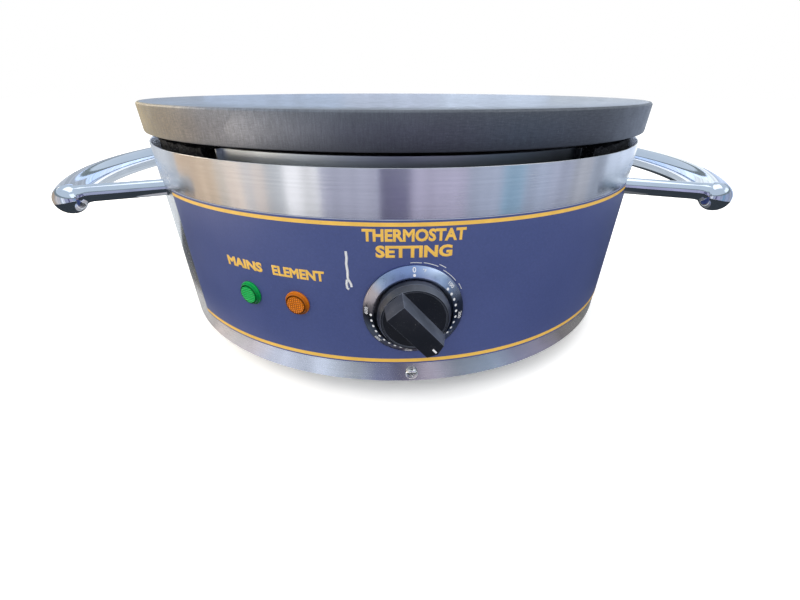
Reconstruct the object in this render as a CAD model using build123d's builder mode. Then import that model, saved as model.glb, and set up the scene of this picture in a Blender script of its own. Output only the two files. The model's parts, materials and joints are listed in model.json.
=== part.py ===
from build123d import *
import os
from math import cos, hypot, radians, sin

# Round electric crepe maker: a cast-iron griddle plate held over a rolled steel body on three
# long studs, a tubular heater pressed against its underside, a capillary thermostat and two
# pilot lamps on the front, and a cast handle on each side.
# Frame: +Z up, z = 0 on the surface the rubber feet stand on, Z the axis of plate and body,
# -Y the front with the thermostat knob. Millimetres.
# Round the body, "azimuth" is the angle from the front, positive towards +X.

# ---------------------------------------------------------------- driving dimensions
PLATE_R = 200.0            # 400 mm cooking surface
PLATE_T = 17.7             # thickness at the rim
PLATE_DRAFT = 0.2          # the rim is this much smaller in radius at its lower edge
RIM_CHAMFER = 1.0
PLATE_GAP = 6.7            # open gap between the plate and the top of the body

SHELL_R = 198.8
SHELL_T = 1.0
SHELL_H = 132.2
FOOT_H = 20.0

OVERLAY_T = 0.4            # printed control film wrapped on the front
OVERLAY_FROM, OVERLAY_TO = -49.3, 66.0      # azimuths of its two ends
OVERLAY_BOTTOM, OVERLAY_H = 15.0, 92.4      # above the lower edge of the body

DIAL_Z = 53.8              # knob axis above the lower edge of the body
LAMP_Z = 54.2
GREEN_LAMP_AZ, AMBER_LAMP_AZ = -29.6, -19.8

GRIP_R = 252.0             # arc of the handle bar, about the body's axis
GRIP_HALF_ANGLE = 32.5     # the bar runs this far each way from the side of the body
GRIP_BAR_R = 9.1
GRIP_Z = 101.7             # bar centre above the lower edge of the body
LEG_R = 5.5
LEG_RISE = 2.9             # the legs meet the bar a little above its centre
LEG_HALF_ANGLE = 35.5      # angle at which a leg meets the body
HANDLE_TURN = -2.0         # both handles sit this far round from the line square to the dial
HANDLE_SCREW_R = 2.5

STUD_R = 4.0               # M8 studs
STUD_CIRCLE_R = 120.0
STUD_ANGLES = (90.0, 210.0, 330.0)          # counted from +X
ELEMENT_R = 4.0            # 8 mm tubular heater
RING_OUTER_R, RING_INNER_R = 150.0, 90.0
ELEMENT_START, ELEMENT_TURN = 75.0, 300.0   # counted from +X

BASE_SCREW_Z = 6.5         # side screws above the lower edge of the body
BASE_SCREW_AZIMUTHS = (0.0, 90.0, 180.0, 270.0)
FOOT_CIRCLE_R = 160.0
FOOT_PLACES = {"front_left": 225.0, "front_right": 315.0, "rear_right": 45.0, "rear_left": 135.0}

# ---------------------------------------------------------------- derived heights and radii
Z_BASE = FOOT_H
Z_SHELL_TOP = Z_BASE + SHELL_H
Z_PLATE_BOTTOM = Z_SHELL_TOP + PLATE_GAP
Z_TOP = Z_PLATE_BOTTOM + PLATE_T
SHELL_INNER_R = SHELL_R - SHELL_T
OVERLAY_R = SHELL_R + OVERLAY_T
BOSS_H = 2 * ELEMENT_R
Z_CLAMP_TOP = Z_PLATE_BOTTOM - BOSS_H
CLAMP_T = 1.6
NUT_H, NUT_FLATS = 6.5, 13.0
Z_CLAMP_BOTTOM = Z_CLAMP_TOP - CLAMP_T
PAN_T = 1.0
PAN_R = 176.0
Z_PAN = 119.0
BASE_T = 1.2
Z_BASE_TOP = Z_BASE + BASE_T
HAIR = 0.05                # hair gap between pieces that only touch

os.makedirs("parts", exist_ok=True)
made = []


def keep(piece, label):
    """Label a finished piece and write its STEP file."""
    piece.part.label = label
    export_step(piece.part, f"parts/{label}.step")
    made.append(label)


def azimuth_plane(azimuth, radius, z):
    """Plane facing outwards from the body's axis, its Y upwards."""
    a = radians(azimuth)
    return Plane(
        origin=(radius * sin(a), -radius * cos(a), z),
        x_dir=(cos(a), sin(a), 0),
        z_dir=(sin(a), -cos(a), 0),
    )


def azimuth_section(azimuth):
    """Plane holding the body's axis, its X outwards at this azimuth and its Y upwards."""
    a = radians(azimuth)
    return Plane(origin=(0, 0, 0), x_dir=(sin(a), -cos(a), 0), z_dir=(-cos(a), -sin(a), 0))


def polar(radius, angle):
    """Point on a circle, its angle counted from +X."""
    return radius * cos(radians(angle)), radius * sin(radians(angle))


stud_places = [polar(STUD_CIRCLE_R, a) for a in STUD_ANGLES]

# ---------------------------------------------------------------- griddle plate
BOSS_R = 11.0
TAP_DEPTH = 10.0
with BuildPart() as griddle_plate:
    with BuildSketch(Plane.XZ):
        with BuildLine():
            Polyline(
                (0, Z_PLATE_BOTTOM),
                (PLATE_R - PLATE_DRAFT, Z_PLATE_BOTTOM),
                (PLATE_R, Z_TOP - RIM_CHAMFER),
                (PLATE_R - RIM_CHAMFER, Z_TOP),
                (0, Z_TOP),
                close=True,
            )
        make_face()
    revolve(axis=Axis.Z)
    with BuildSketch(Plane.XY.offset(Z_CLAMP_TOP)):
        with Locations(*stud_places):
            Circle(BOSS_R)
    extrude(amount=BOSS_H + 1)
    with BuildSketch(Plane.XY.offset(Z_CLAMP_TOP)):
        with Locations(*stud_places):
            Circle(STUD_R)
    extrude(amount=BOSS_H + TAP_DEPTH, mode=Mode.SUBTRACT)
keep(griddle_plate, "griddle_plate")

# ---------------------------------------------------------------- long studs, nuts and columns
STUD_END = 4.0             # thread left showing below the lowest nut
Z_COLUMN_NUT = Z_PAN + PAN_T
Z_BASE_NUT = Z_BASE - NUT_H
with BuildPart() as plate_studs:
    with BuildSketch(Plane.XY.offset(Z_BASE_NUT - STUD_END)):
        with Locations(*stud_places):
            Circle(STUD_R - HAIR)
    extrude(amount=Z_PLATE_BOTTOM + TAP_DEPTH - 1 - Z_BASE_NUT + STUD_END)
    ends = plate_studs.edges().filter_by(GeomType.CIRCLE)
    chamfer(ends, 0.8)
keep(plate_studs, "plate_studs")

with BuildPart() as stud_nuts:
    for z_nut in (Z_BASE_NUT, Z_COLUMN_NUT, Z_CLAMP_BOTTOM - NUT_H):
        with BuildSketch(Plane.XY.offset(z_nut)):
            with Locations(*stud_places):
                RegularPolygon(NUT_FLATS / 2, 6, major_radius=False)
            with Locations(*stud_places):
                Circle(STUD_R, mode=Mode.SUBTRACT)
        extrude(amount=NUT_H)
keep(stud_nuts, "stud_nuts")

COLUMN_R = 8.0
with BuildPart() as support_columns:
    with BuildSketch(Plane.XY.offset(Z_BASE_TOP)):
        with Locations(*stud_places):
            Circle(COLUMN_R)
        with Locations(*stud_places):
            Circle(STUD_R + 0.4, mode=Mode.SUBTRACT)
    extrude(amount=Z_PAN - Z_BASE_TOP)
keep(support_columns, "support_columns")

# ---------------------------------------------------------------- tubular heating element
# One tube: out along the outer ring, a half turn inwards, back along the inner ring. Both
# ends turn down through the clamp plate, the wool and the pan.
TURN_R = (RING_OUTER_R - RING_INNER_R) / 2
BEND_R = 12.0
Z_ELEMENT = Z_PLATE_BOTTOM - ELEMENT_R
TUBE_R = ELEMENT_R - HAIR
Z_COLD_END = Z_PAN - 10.0
PIN_R, PIN_L = 2.0, 9.0


def behind_start(ring_r, distance):
    """Point this far straight back from the start of a ring."""
    x, y = polar(ring_r, ELEMENT_START)
    dx, dy = polar(distance, ELEMENT_START - 90)
    return x + dx, y + dy


drops = [behind_start(r, BEND_R) for r in (RING_OUTER_R, RING_INNER_R)]
bend_middles = [behind_start(r, BEND_R / 2) for r in (RING_OUTER_R, RING_INNER_R)]


with BuildPart() as heating_element:
    with BuildLine() as ring_path:
        outer = CenterArc((0, 0, Z_ELEMENT), RING_OUTER_R, ELEMENT_START, ELEMENT_TURN)
        JernArc(outer @ 1, outer % 1, TURN_R, 180)
        CenterArc((0, 0, Z_ELEMENT), RING_INNER_R, ELEMENT_START + ELEMENT_TURN, -ELEMENT_TURN)
    start = Plane(origin=outer @ 0, z_dir=outer % 0)
    with BuildSketch(start):
        Circle(TUBE_R)
    sweep(path=ring_path.wires()[0])
    for ring_r, drop in zip((RING_OUTER_R, RING_INNER_R), drops):
        x0, y0 = polar(ring_r, ELEMENT_START)
        out_x, out_y = polar(1, ELEMENT_START)
        back_x, back_y = polar(1, ELEMENT_START - 90)
        bend_plane = Plane(
            origin=(x0, y0, Z_ELEMENT), x_dir=(out_x, out_y, 0), z_dir=(back_x, back_y, 0)
        )
        with BuildSketch(bend_plane):
            Circle(TUBE_R)
        centre = (x0, y0, Z_ELEMENT - BEND_R)
        revolve(axis=Axis(centre, (out_x, out_y, 0)), revolution_arc=90)
        with BuildSketch(Plane.XY.offset(Z_COLD_END)):
            with Locations(drop):
                Circle(TUBE_R)
        extrude(amount=Z_ELEMENT - BEND_R - Z_COLD_END)
        with BuildSketch(Plane.XY.offset(Z_COLD_END - PIN_L)):
            with Locations(drop):
                Circle(PIN_R)
        extrude(amount=PIN_L)
keep(heating_element, "heating_element")

# ---------------------------------------------------------------- thermostat bulb route
BULB_R, BULB_L = 3.0, 72.0
BULB_Y = -120.0
BULB_Z = Z_PLATE_BOTTOM - BULB_R - HAIR
CAPILLARY_R = 0.8
CAPILLARY_DROP_X = 52.0
capillary_place = (CAPILLARY_DROP_X, BULB_Y)

# ---------------------------------------------------------------- clamp plate under the heater
CLAMP_R = 166.0
with BuildPart() as element_clamp_plate:
    with BuildSketch(Plane.XY.offset(Z_CLAMP_BOTTOM)):
        Circle(CLAMP_R)
        Circle(40, mode=Mode.SUBTRACT)
        with Locations(*stud_places):
            Circle(STUD_R + 0.4, mode=Mode.SUBTRACT)
        with Locations(*drops, *bend_middles):
            Circle(ELEMENT_R + 4, mode=Mode.SUBTRACT)
        with Locations(capillary_place):
            Circle(4, mode=Mode.SUBTRACT)
    extrude(amount=CLAMP_T - HAIR)
keep(element_clamp_plate, "element_clamp_plate")

# ---------------------------------------------------------------- insulation pan and its wool
PAN_WALL_TOP = Z_PLATE_BOTTOM - 4.9
with BuildPart() as insulation_pan:
    with BuildSketch(Plane.XY.offset(Z_PAN)):
        Circle(PAN_R)
    extrude(amount=PAN_WALL_TOP - Z_PAN)
    fillet(insulation_pan.faces().sort_by(Axis.Z)[0].edges(), 4)
    offset(amount=-PAN_T, openings=insulation_pan.faces().sort_by(Axis.Z)[-1])
    with BuildSketch(Plane.XY.offset(Z_PAN)):
        with Locations(*stud_places):
            Circle(STUD_R + 0.4)
        with Locations(*drops):
            Circle(8)
        with Locations(capillary_place):
            Circle(4)
    extrude(amount=PAN_T, mode=Mode.SUBTRACT)
keep(insulation_pan, "insulation_pan")

WOOL_R = PAN_R - PAN_T - 4.5
with BuildPart() as insulation_pad:
    with BuildSketch(Plane.XY.offset(Z_PAN + PAN_T + HAIR)):
        Circle(WOOL_R)
        with Locations(*stud_places):
            Circle(9, mode=Mode.SUBTRACT)
        with Locations(*drops):
            Circle(8, mode=Mode.SUBTRACT)
        with Locations(capillary_place):
            Circle(4, mode=Mode.SUBTRACT)
    extrude(amount=Z_CLAMP_BOTTOM - Z_PAN - PAN_T - 2 * HAIR)
keep(insulation_pad, "insulation_pad")

BUSH_R = 7.9
with BuildPart() as element_bushes:
    with BuildSketch(Plane.XY.offset(Z_PAN - 5)):
        with Locations(*drops):
            Circle(BUSH_R)
        with Locations(*drops):
            Circle(ELEMENT_R + HAIR, mode=Mode.SUBTRACT)
    extrude(amount=18)
    with BuildSketch(Plane.XY.offset(Z_PAN - 5)):
        with Locations(*drops):
            Circle(BUSH_R + 2.5)
        with Locations(*drops):
            Circle(BUSH_R - 1, mode=Mode.SUBTRACT)
    extrude(amount=5 - HAIR)
keep(element_bushes, "element_bushes")

# ---------------------------------------------------------------- body shell
GLAND_Z = 50.0
GLAND_HOLE_R = 10.2
HANDLE_AZIMUTHS = [HANDLE_TURN + s * 90 + t * LEG_HALF_ANGLE for s in (-1, 1) for t in (-1, 1)]
Z_LEG = Z_BASE + GRIP_Z + LEG_RISE
Z_DIAL = Z_BASE + DIAL_Z
DIAL_SCREW_X = 14.0
with BuildPart() as body_shell:
    with BuildSketch(Plane.XY.offset(Z_BASE)):
        Circle(SHELL_R)
        Circle(SHELL_INNER_R, mode=Mode.SUBTRACT)
    extrude(amount=SHELL_H)
    for azimuth in HANDLE_AZIMUTHS:
        with BuildSketch(azimuth_plane(azimuth, SHELL_R - 10, Z_LEG)):
            Circle(HANDLE_SCREW_R + 0.3)
        extrude(amount=20, mode=Mode.SUBTRACT)
    for azimuth in BASE_SCREW_AZIMUTHS:
        with BuildSketch(azimuth_plane(azimuth, SHELL_R - 10, Z_BASE + BASE_SCREW_Z)):
            Circle(2.2)
        extrude(amount=20, mode=Mode.SUBTRACT)
    for azimuth in (GREEN_LAMP_AZ, AMBER_LAMP_AZ):
        with BuildSketch(azimuth_plane(azimuth, SHELL_R - 10, Z_BASE + LAMP_Z)):
            Circle(6.4)
        extrude(amount=20, mode=Mode.SUBTRACT)
    with BuildSketch(azimuth_plane(0, SHELL_R - 10, Z_DIAL)):
        Circle(5.4)
        with Locations((-DIAL_SCREW_X, 0), (DIAL_SCREW_X, 0)):
            Circle(2.2)
    extrude(amount=20, mode=Mode.SUBTRACT)
    with BuildSketch(azimuth_plane(180, SHELL_R - 10, GLAND_Z)):
        Circle(GLAND_HOLE_R)
    extrude(amount=20, mode=Mode.SUBTRACT)
keep(body_shell, "body_shell")

# ---------------------------------------------------------------- printed control film
with BuildPart() as control_overlay:
    with BuildSketch(Plane.XY.offset(Z_BASE + OVERLAY_BOTTOM)):
        with BuildLine():
            inner = CenterArc((0, 0), SHELL_R + HAIR, OVERLAY_FROM - 90, OVERLAY_TO - OVERLAY_FROM)
            outer = CenterArc((0, 0), OVERLAY_R, OVERLAY_FROM - 90, OVERLAY_TO - OVERLAY_FROM)
            Line(inner @ 0, outer @ 0)
            Line(inner @ 1, outer @ 1)
        make_face()
    extrude(amount=OVERLAY_H)
    for azimuth in (GREEN_LAMP_AZ, AMBER_LAMP_AZ):
        with BuildSketch(azimuth_plane(azimuth, SHELL_R - 10, Z_BASE + LAMP_Z)):
            Circle(6.4)
        extrude(amount=20, mode=Mode.SUBTRACT)
    with BuildSketch(azimuth_plane(0, SHELL_R - 10, Z_DIAL)):
        Circle(5.4)
        with Locations((-DIAL_SCREW_X, 0), (DIAL_SCREW_X, 0)):
            Circle(2.2)
    extrude(amount=20, mode=Mode.SUBTRACT)
    with BuildSketch(azimuth_plane(HANDLE_TURN + 90 - LEG_HALF_ANGLE, SHELL_R - 10, Z_LEG)):
        Circle(LEG_R + 0.3)
    extrude(amount=20, mode=Mode.SUBTRACT)
keep(control_overlay, "control_overlay")

# ---------------------------------------------------------------- base plate with its flange
FLANGE_R = SHELL_INNER_R - 0.1
FLANGE_H = 14.0
SLOT_L, SLOT_W = 30.0, 4.0
with BuildPart() as base_plate:
    with BuildSketch(Plane.XY.offset(Z_BASE)):
        Circle(FLANGE_R)
    extrude(amount=FLANGE_H)
    fillet(base_plate.faces().sort_by(Axis.Z)[0].edges(), 2)
    offset(amount=-BASE_T, openings=base_plate.faces().sort_by(Axis.Z)[-1])
    with BuildSketch(Plane.XY.offset(Z_BASE)):
        with Locations(*stud_places):
            Circle(STUD_R + 0.4)
        with PolarLocations(FOOT_CIRCLE_R, 4, start_angle=45):
            Circle(2.7)
        with PolarLocations(85, 3, start_angle=30):
            with GridLocations(9, 0, 6, 1):
                SlotOverall(SLOT_L, SLOT_W, rotation=90)
    extrude(amount=BASE_T, mode=Mode.SUBTRACT)
    for azimuth in BASE_SCREW_AZIMUTHS:
        with BuildSketch(azimuth_plane(azimuth, SHELL_R - 10, Z_BASE + BASE_SCREW_Z)):
            Circle(1.95)
        extrude(amount=20, mode=Mode.SUBTRACT)
keep(base_plate, "base_plate")


def pan_head_screw(plane, shank_r, shank_l, head_r, head_h, recess):
    """Pan head screw standing on a plane, head outwards, with a cross recess."""
    with BuildPart() as screw:
        with BuildSketch(plane.offset(-shank_l)):
            Circle(shank_r)
        extrude(amount=shank_l + 0.5)
        with BuildSketch(plane.offset(0)):
            Circle(head_r)
        extrude(amount=head_h)
        rim = screw.faces().filter_by(plane).sort_by(Axis(plane.origin, plane.z_dir))[-1].edges()
        fillet(rim, head_h * 0.6)
        with BuildSketch(plane.offset(head_h)):
            Rectangle(recess * 2, recess * 0.45)
            Rectangle(recess * 0.45, recess * 2)
        extrude(amount=-head_h * 0.6, mode=Mode.SUBTRACT)
    return screw


# ---------------------------------------------------------------- side screws of the base
base_screw_parts = [
    pan_head_screw(azimuth_plane(a, SHELL_R + HAIR, Z_BASE + BASE_SCREW_Z), 1.9, 7.0, 4.1, 2.6, 2.1)
    for a in BASE_SCREW_AZIMUTHS
]
with BuildPart() as base_screws:
    for screw in base_screw_parts:
        add(screw.part)
keep(base_screws, "base_screws")

# ---------------------------------------------------------------- rubber feet and their screws
FOOT_R_TOP, FOOT_R_BOTTOM = 17.0, 14.0
FOOT_BORE_R, FOOT_RECESS_R, FOOT_FLOOR = 2.6, 7.0, 9.0
for place, angle in FOOT_PLACES.items():
    x0, y0 = polar(FOOT_CIRCLE_R, angle)
    with BuildPart() as foot:
        with BuildSketch(Plane(origin=(x0, y0, 0), x_dir=(1, 0, 0), z_dir=(0, -1, 0))):
            with BuildLine():
                Polyline(
                    (FOOT_BORE_R, FOOT_FLOOR),
                    (FOOT_RECESS_R, FOOT_FLOOR),
                    (FOOT_RECESS_R, 0),
                    (FOOT_R_BOTTOM - 1.5, 0),
                    (FOOT_R_BOTTOM, 1.5),
                    (FOOT_R_TOP, FOOT_H - 3),
                    (FOOT_R_TOP, FOOT_H - HAIR),
                    (FOOT_BORE_R, FOOT_H - HAIR),
                    close=True,
                )
            make_face()
        revolve(axis=Axis((x0, y0, 0), (0, 0, 1)))
    keep(foot, f"foot_{place}")

foot_screw_parts = [
    pan_head_screw(
        Plane(origin=(*polar(FOOT_CIRCLE_R, a), FOOT_FLOOR - 1.0 - HAIR), z_dir=(0, 0, -1)),
        2.4, 21.0, 4.6, 3.0, 2.3,
    )
    for a in FOOT_PLACES.values()
]
with BuildPart() as foot_screws:
    for screw in foot_screw_parts:
        add(screw.part)
keep(foot_screws, "foot_screws")

foot_circle = [polar(FOOT_CIRCLE_R, a) for a in FOOT_PLACES.values()]
with BuildPart() as foot_washers:
    with BuildSketch(Plane.XY.offset(FOOT_FLOOR - 1.0)):
        with Locations(*foot_circle):
            Circle(6.5)
        with Locations(*foot_circle):
            Circle(2.6, mode=Mode.SUBTRACT)
    extrude(amount=1.0 - HAIR)
keep(foot_washers, "foot_washers")

with BuildPart() as foot_nuts:
    with BuildSketch(Plane.XY.offset(Z_BASE_TOP + HAIR)):
        with Locations(*foot_circle):
            RegularPolygon(4, 6, major_radius=False)
        with Locations(*foot_circle):
            Circle(2.45, mode=Mode.SUBTRACT)
    extrude(amount=4)
keep(foot_nuts, "foot_nuts")

# ---------------------------------------------------------------- handles
Z_GRIP = Z_BASE + GRIP_Z
LEG_TAP_DEPTH = 16.0
for middle, name in ((HANDLE_TURN + 180, "left_handle"), (HANDLE_TURN, "right_handle")):
    ends = [polar(GRIP_R, middle + t * GRIP_HALF_ANGLE) for t in (-1, 1)]
    seats = [polar(SHELL_R, middle + t * LEG_HALF_ANGLE) for t in (-1, 1)]
    with BuildPart() as handle:
        with BuildSketch(azimuth_section(middle + 90 - GRIP_HALF_ANGLE)):
            with Locations((GRIP_R, Z_GRIP)):
                Circle(GRIP_BAR_R)
        revolve(axis=Axis.Z, revolution_arc=2 * GRIP_HALF_ANGLE)
        for (end_x, end_y), (seat_x, seat_y) in zip(ends, seats):
            with Locations((end_x, end_y, Z_GRIP)):
                Sphere(GRIP_BAR_R)
            run = hypot(seat_x - end_x, seat_y - end_y)
            with BuildSketch(Plane(origin=(end_x, end_y, Z_LEG), z_dir=(seat_x - end_x, seat_y - end_y, 0))):
                Circle(LEG_R)
            extrude(amount=run + 4)
        with BuildSketch(Plane.XY.offset(Z_LEG - 20)):
            Circle(SHELL_R + HAIR)
        extrude(amount=40, mode=Mode.SUBTRACT)
        for seat_x, seat_y in seats:
            with BuildSketch(Plane(origin=(seat_x, seat_y, Z_LEG), z_dir=(seat_x, seat_y, 0))):
                Circle(HANDLE_SCREW_R)
            extrude(amount=LEG_TAP_DEPTH, mode=Mode.SUBTRACT)
    keep(handle, name)

handle_screw_parts = []
WASHER_T = 1.0
for azimuth in HANDLE_AZIMUTHS:
    inward = azimuth_plane(azimuth, SHELL_INNER_R - 0.3 - WASHER_T, Z_LEG)
    head_side = Plane(origin=inward.origin, x_dir=inward.x_dir, z_dir=-inward.z_dir)
    handle_screw_parts.append(pan_head_screw(head_side, HANDLE_SCREW_R - HAIR, 14.0, 4.6, 3.2, 2.3))
with BuildPart() as handle_screws:
    for screw in handle_screw_parts:
        add(screw.part)
keep(handle_screws, "handle_screws")

with BuildPart() as handle_washers:
    for azimuth in HANDLE_AZIMUTHS:
        with BuildSketch(azimuth_plane(azimuth, SHELL_INNER_R - 0.3 - WASHER_T + HAIR, Z_LEG)):
            Circle(6.5)
            Circle(HANDLE_SCREW_R + 0.2, mode=Mode.SUBTRACT)
        extrude(amount=WASHER_T - HAIR)
keep(handle_washers, "handle_washers")

# ---------------------------------------------------------------- wool lining behind the shell
LINING_R, LINING_INNER_R = 194.5, 179.0
LINING_FROM, LINING_TO = 33.0, 323.5   # azimuths where it starts and, round the back, ends
LINING_TOP = Z_PLATE_BOTTOM - 1.7
with BuildPart() as side_insulation:
    with BuildSketch(azimuth_section(LINING_FROM)):
        with Locations(((LINING_R + LINING_INNER_R) / 2, (LINING_TOP + Z_BASE_TOP + 0.3) / 2)):
            Rectangle(LINING_R - LINING_INNER_R, LINING_TOP - Z_BASE_TOP - 0.3)
    revolve(axis=Axis.Z, revolution_arc=LINING_TO - LINING_FROM)
    for azimuth in HANDLE_AZIMUTHS:
        with BuildSketch(azimuth_plane(azimuth, LINING_R - 6, Z_LEG)):
            Circle(8)
        extrude(amount=10, mode=Mode.SUBTRACT)
    for azimuth in BASE_SCREW_AZIMUTHS[1:]:
        with BuildSketch(azimuth_plane(azimuth, LINING_R - 6, Z_BASE + BASE_SCREW_Z)):
            Circle(4)
        extrude(amount=10, mode=Mode.SUBTRACT)
    with BuildSketch(azimuth_plane(180, LINING_INNER_R - 8, GLAND_Z)):
        Circle(18)
    extrude(amount=30, mode=Mode.SUBTRACT)
keep(side_insulation, "side_insulation")

# ---------------------------------------------------------------- heat shield over the controls
SHIELD_R, SHIELD_T = 185.0, 0.8
SHIELD_FROM, SHIELD_TO = -35.0, 31.5
Z_SHIELD_TOP = Z_TOP - 21.4
Z_SHIELD_SHELF = 100.0
SHIELD_SHELF_R = 166.0
SHIELD_LIP = 3.0
with BuildPart() as heat_shield:
    with BuildSketch(azimuth_section(SHIELD_FROM)):
        with Locations((SHIELD_R - SHIELD_T / 2, (Z_SHIELD_TOP + Z_SHIELD_SHELF) / 2)):
            Rectangle(SHIELD_T, Z_SHIELD_TOP - Z_SHIELD_SHELF)
        with Locations(((SHIELD_R + SHIELD_SHELF_R) / 2, Z_SHIELD_SHELF + SHIELD_T / 2)):
            Rectangle(SHIELD_R - SHIELD_SHELF_R, SHIELD_T)
    revolve(axis=Axis.Z, revolution_arc=SHIELD_TO - SHIELD_FROM)
    for side, end in ((-1, SHIELD_FROM), (1, SHIELD_TO)):
        with BuildSketch(azimuth_section(end)):
            with Locations((SHIELD_R + SHIELD_LIP / 2, (Z_SHIELD_TOP + Z_SHIELD_SHELF) / 2)):
                Rectangle(SHIELD_LIP + SHIELD_T, Z_SHIELD_TOP - Z_SHIELD_SHELF)
        extrude(amount=side * SHIELD_T)
keep(heat_shield, "heat_shield")

# ---------------------------------------------------------------- thermostat and its spindle
SPINDLE_R, SPINDLE_FLAT = 3.0, 1.6
BODY_BACK, BODY_FRONT = 161.2, 195.2        # distances from the body's axis
MOUNT_PLATE_T = 1.2
BUSH_END = 199.6
SPINDLE_BACK, SPINDLE_FRONT, SPINDLE_FLAT_FROM = 176.0, 217.0, 200.8


def dial_plane(depth):
    """Plane across the knob's axis at this distance from the body's axis, facing forward."""
    return azimuth_plane(0, depth, Z_DIAL)


with BuildPart() as thermostat_body:
    with BuildSketch(dial_plane(BODY_BACK)):
        RectangleRounded(36, 32, 3)
    extrude(amount=BODY_FRONT - BODY_BACK)
    with BuildSketch(dial_plane(BODY_FRONT)):
        RectangleRounded(34, 18, 3)
    extrude(amount=MOUNT_PLATE_T)
    with BuildSketch(dial_plane(BODY_FRONT)):
        Circle(4.9)
    extrude(amount=BUSH_END - BODY_FRONT)
    with BuildSketch(dial_plane(BUSH_END)):
        Circle(SPINDLE_R + HAIR)
    extrude(amount=-(BUSH_END - SPINDLE_BACK + 1), mode=Mode.SUBTRACT)
    with BuildSketch(dial_plane(BODY_FRONT + MOUNT_PLATE_T)):
        with Locations((-DIAL_SCREW_X, 0), (DIAL_SCREW_X, 0)):
            Circle(2.0)
    extrude(amount=-8, mode=Mode.SUBTRACT)
keep(thermostat_body, "thermostat_body")

POINTER = 139.0            # where the knob points at rest, clockwise from the zero at the top
pointer_x = (sin(radians(POINTER)), 0, cos(radians(POINTER)))


def pointer_plane(depth):
    """Plane across the knob's axis whose X runs along the knob's pointer."""
    return Plane(origin=(0, -depth, Z_DIAL), x_dir=pointer_x, z_dir=(0, -1, 0))


with BuildPart() as thermostat_spindle:
    with BuildSketch(dial_plane(SPINDLE_BACK)):
        Circle(SPINDLE_R)
    extrude(amount=SPINDLE_FRONT - SPINDLE_BACK)
    with BuildSketch(pointer_plane(SPINDLE_FLAT_FROM)):
        with Locations((0, SPINDLE_FLAT + 5)):
            Rectangle(10, 10)
    extrude(amount=SPINDLE_FRONT - SPINDLE_FLAT_FROM, mode=Mode.SUBTRACT)
    chamfer(thermostat_spindle.faces().sort_by(Axis.Y)[0].edges(), 0.4)
keep(thermostat_spindle, "thermostat_spindle")

# ---------------------------------------------------------------- dial bezel
# A shallow cone carries the scale, round a sunk floor that the knob sits in.
BEZEL_R, BEZEL_RIM = 28.8, 200.3
BEZEL_LIP_R, BEZEL_WELL_R, BEZEL_FRONT = 23.4, 22.6, 203.6
BEZEL_FLOOR = 200.7
BEZEL_BACK = 196.5
dial_section = Plane(origin=(0, 0, Z_DIAL), x_dir=(1, 0, 0), z_dir=(0, 0, -1))
dial_axis = Axis((0, 0, Z_DIAL), (0, -1, 0))
with BuildPart() as dial_bezel:
    with BuildSketch(dial_section):
        with BuildLine():
            Polyline(
                (5.6, BEZEL_BACK),
                (BEZEL_R, BEZEL_BACK),
                (BEZEL_R, BEZEL_RIM),
                (BEZEL_LIP_R, BEZEL_FRONT),
                (BEZEL_WELL_R, BEZEL_FRONT),
                (BEZEL_WELL_R, BEZEL_FLOOR),
                (5.6, BEZEL_FLOOR),
                close=True,
            )
        make_face()
    revolve(axis=dial_axis)
    with BuildSketch(Plane.XY.offset(Z_DIAL - 2 * BEZEL_R)):
        Circle(OVERLAY_R + HAIR)
    extrude(amount=4 * BEZEL_R, mode=Mode.SUBTRACT)
    with BuildSketch(dial_plane(BEZEL_FLOOR)):
        with Locations((-DIAL_SCREW_X, 0), (DIAL_SCREW_X, 0)):
            Circle(2.2)
    extrude(amount=-8, mode=Mode.SUBTRACT)
keep(dial_bezel, "dial_bezel")

dial_screw_parts = [
    pan_head_screw(
        Plane(origin=(x, -BEZEL_FLOOR - HAIR, Z_DIAL), x_dir=(1, 0, 0), z_dir=(0, -1, 0)),
        1.95, 10.0, 3.4, 1.8, 1.7,
    )
    for x in (-DIAL_SCREW_X, DIAL_SCREW_X)
]
with BuildPart() as dial_screws:
    for screw in dial_screw_parts:
        add(screw.part)
keep(dial_screws, "dial_screws")

# ---------------------------------------------------------------- thermostat knob
KNOB_R, KNOB_FACE_R = 20.8, 19.0
KNOB_BACK, KNOB_SHOULDER, KNOB_FACE = 201.6, 206.6, 210.5
KNOB_WALL = 2.2
KNOB_FRONT = 223.5
MARK_L, MARK_W = 3.4, 1.3
GRIP_FROM = 207.0
HUB_R = 6.5
BORE_FLAT = 2.2
BORE_END = 218.0


def grip_outline(tail, shoulder, nose, tail_half, nose_half):
    """Five-sided outline of the knob's grip, pointing along local +X."""
    return Polygon(
        (-tail, -tail_half), (shoulder, -nose_half), (nose, 0), (shoulder, nose_half), (-tail, tail_half),
        align=None,
    )


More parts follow.
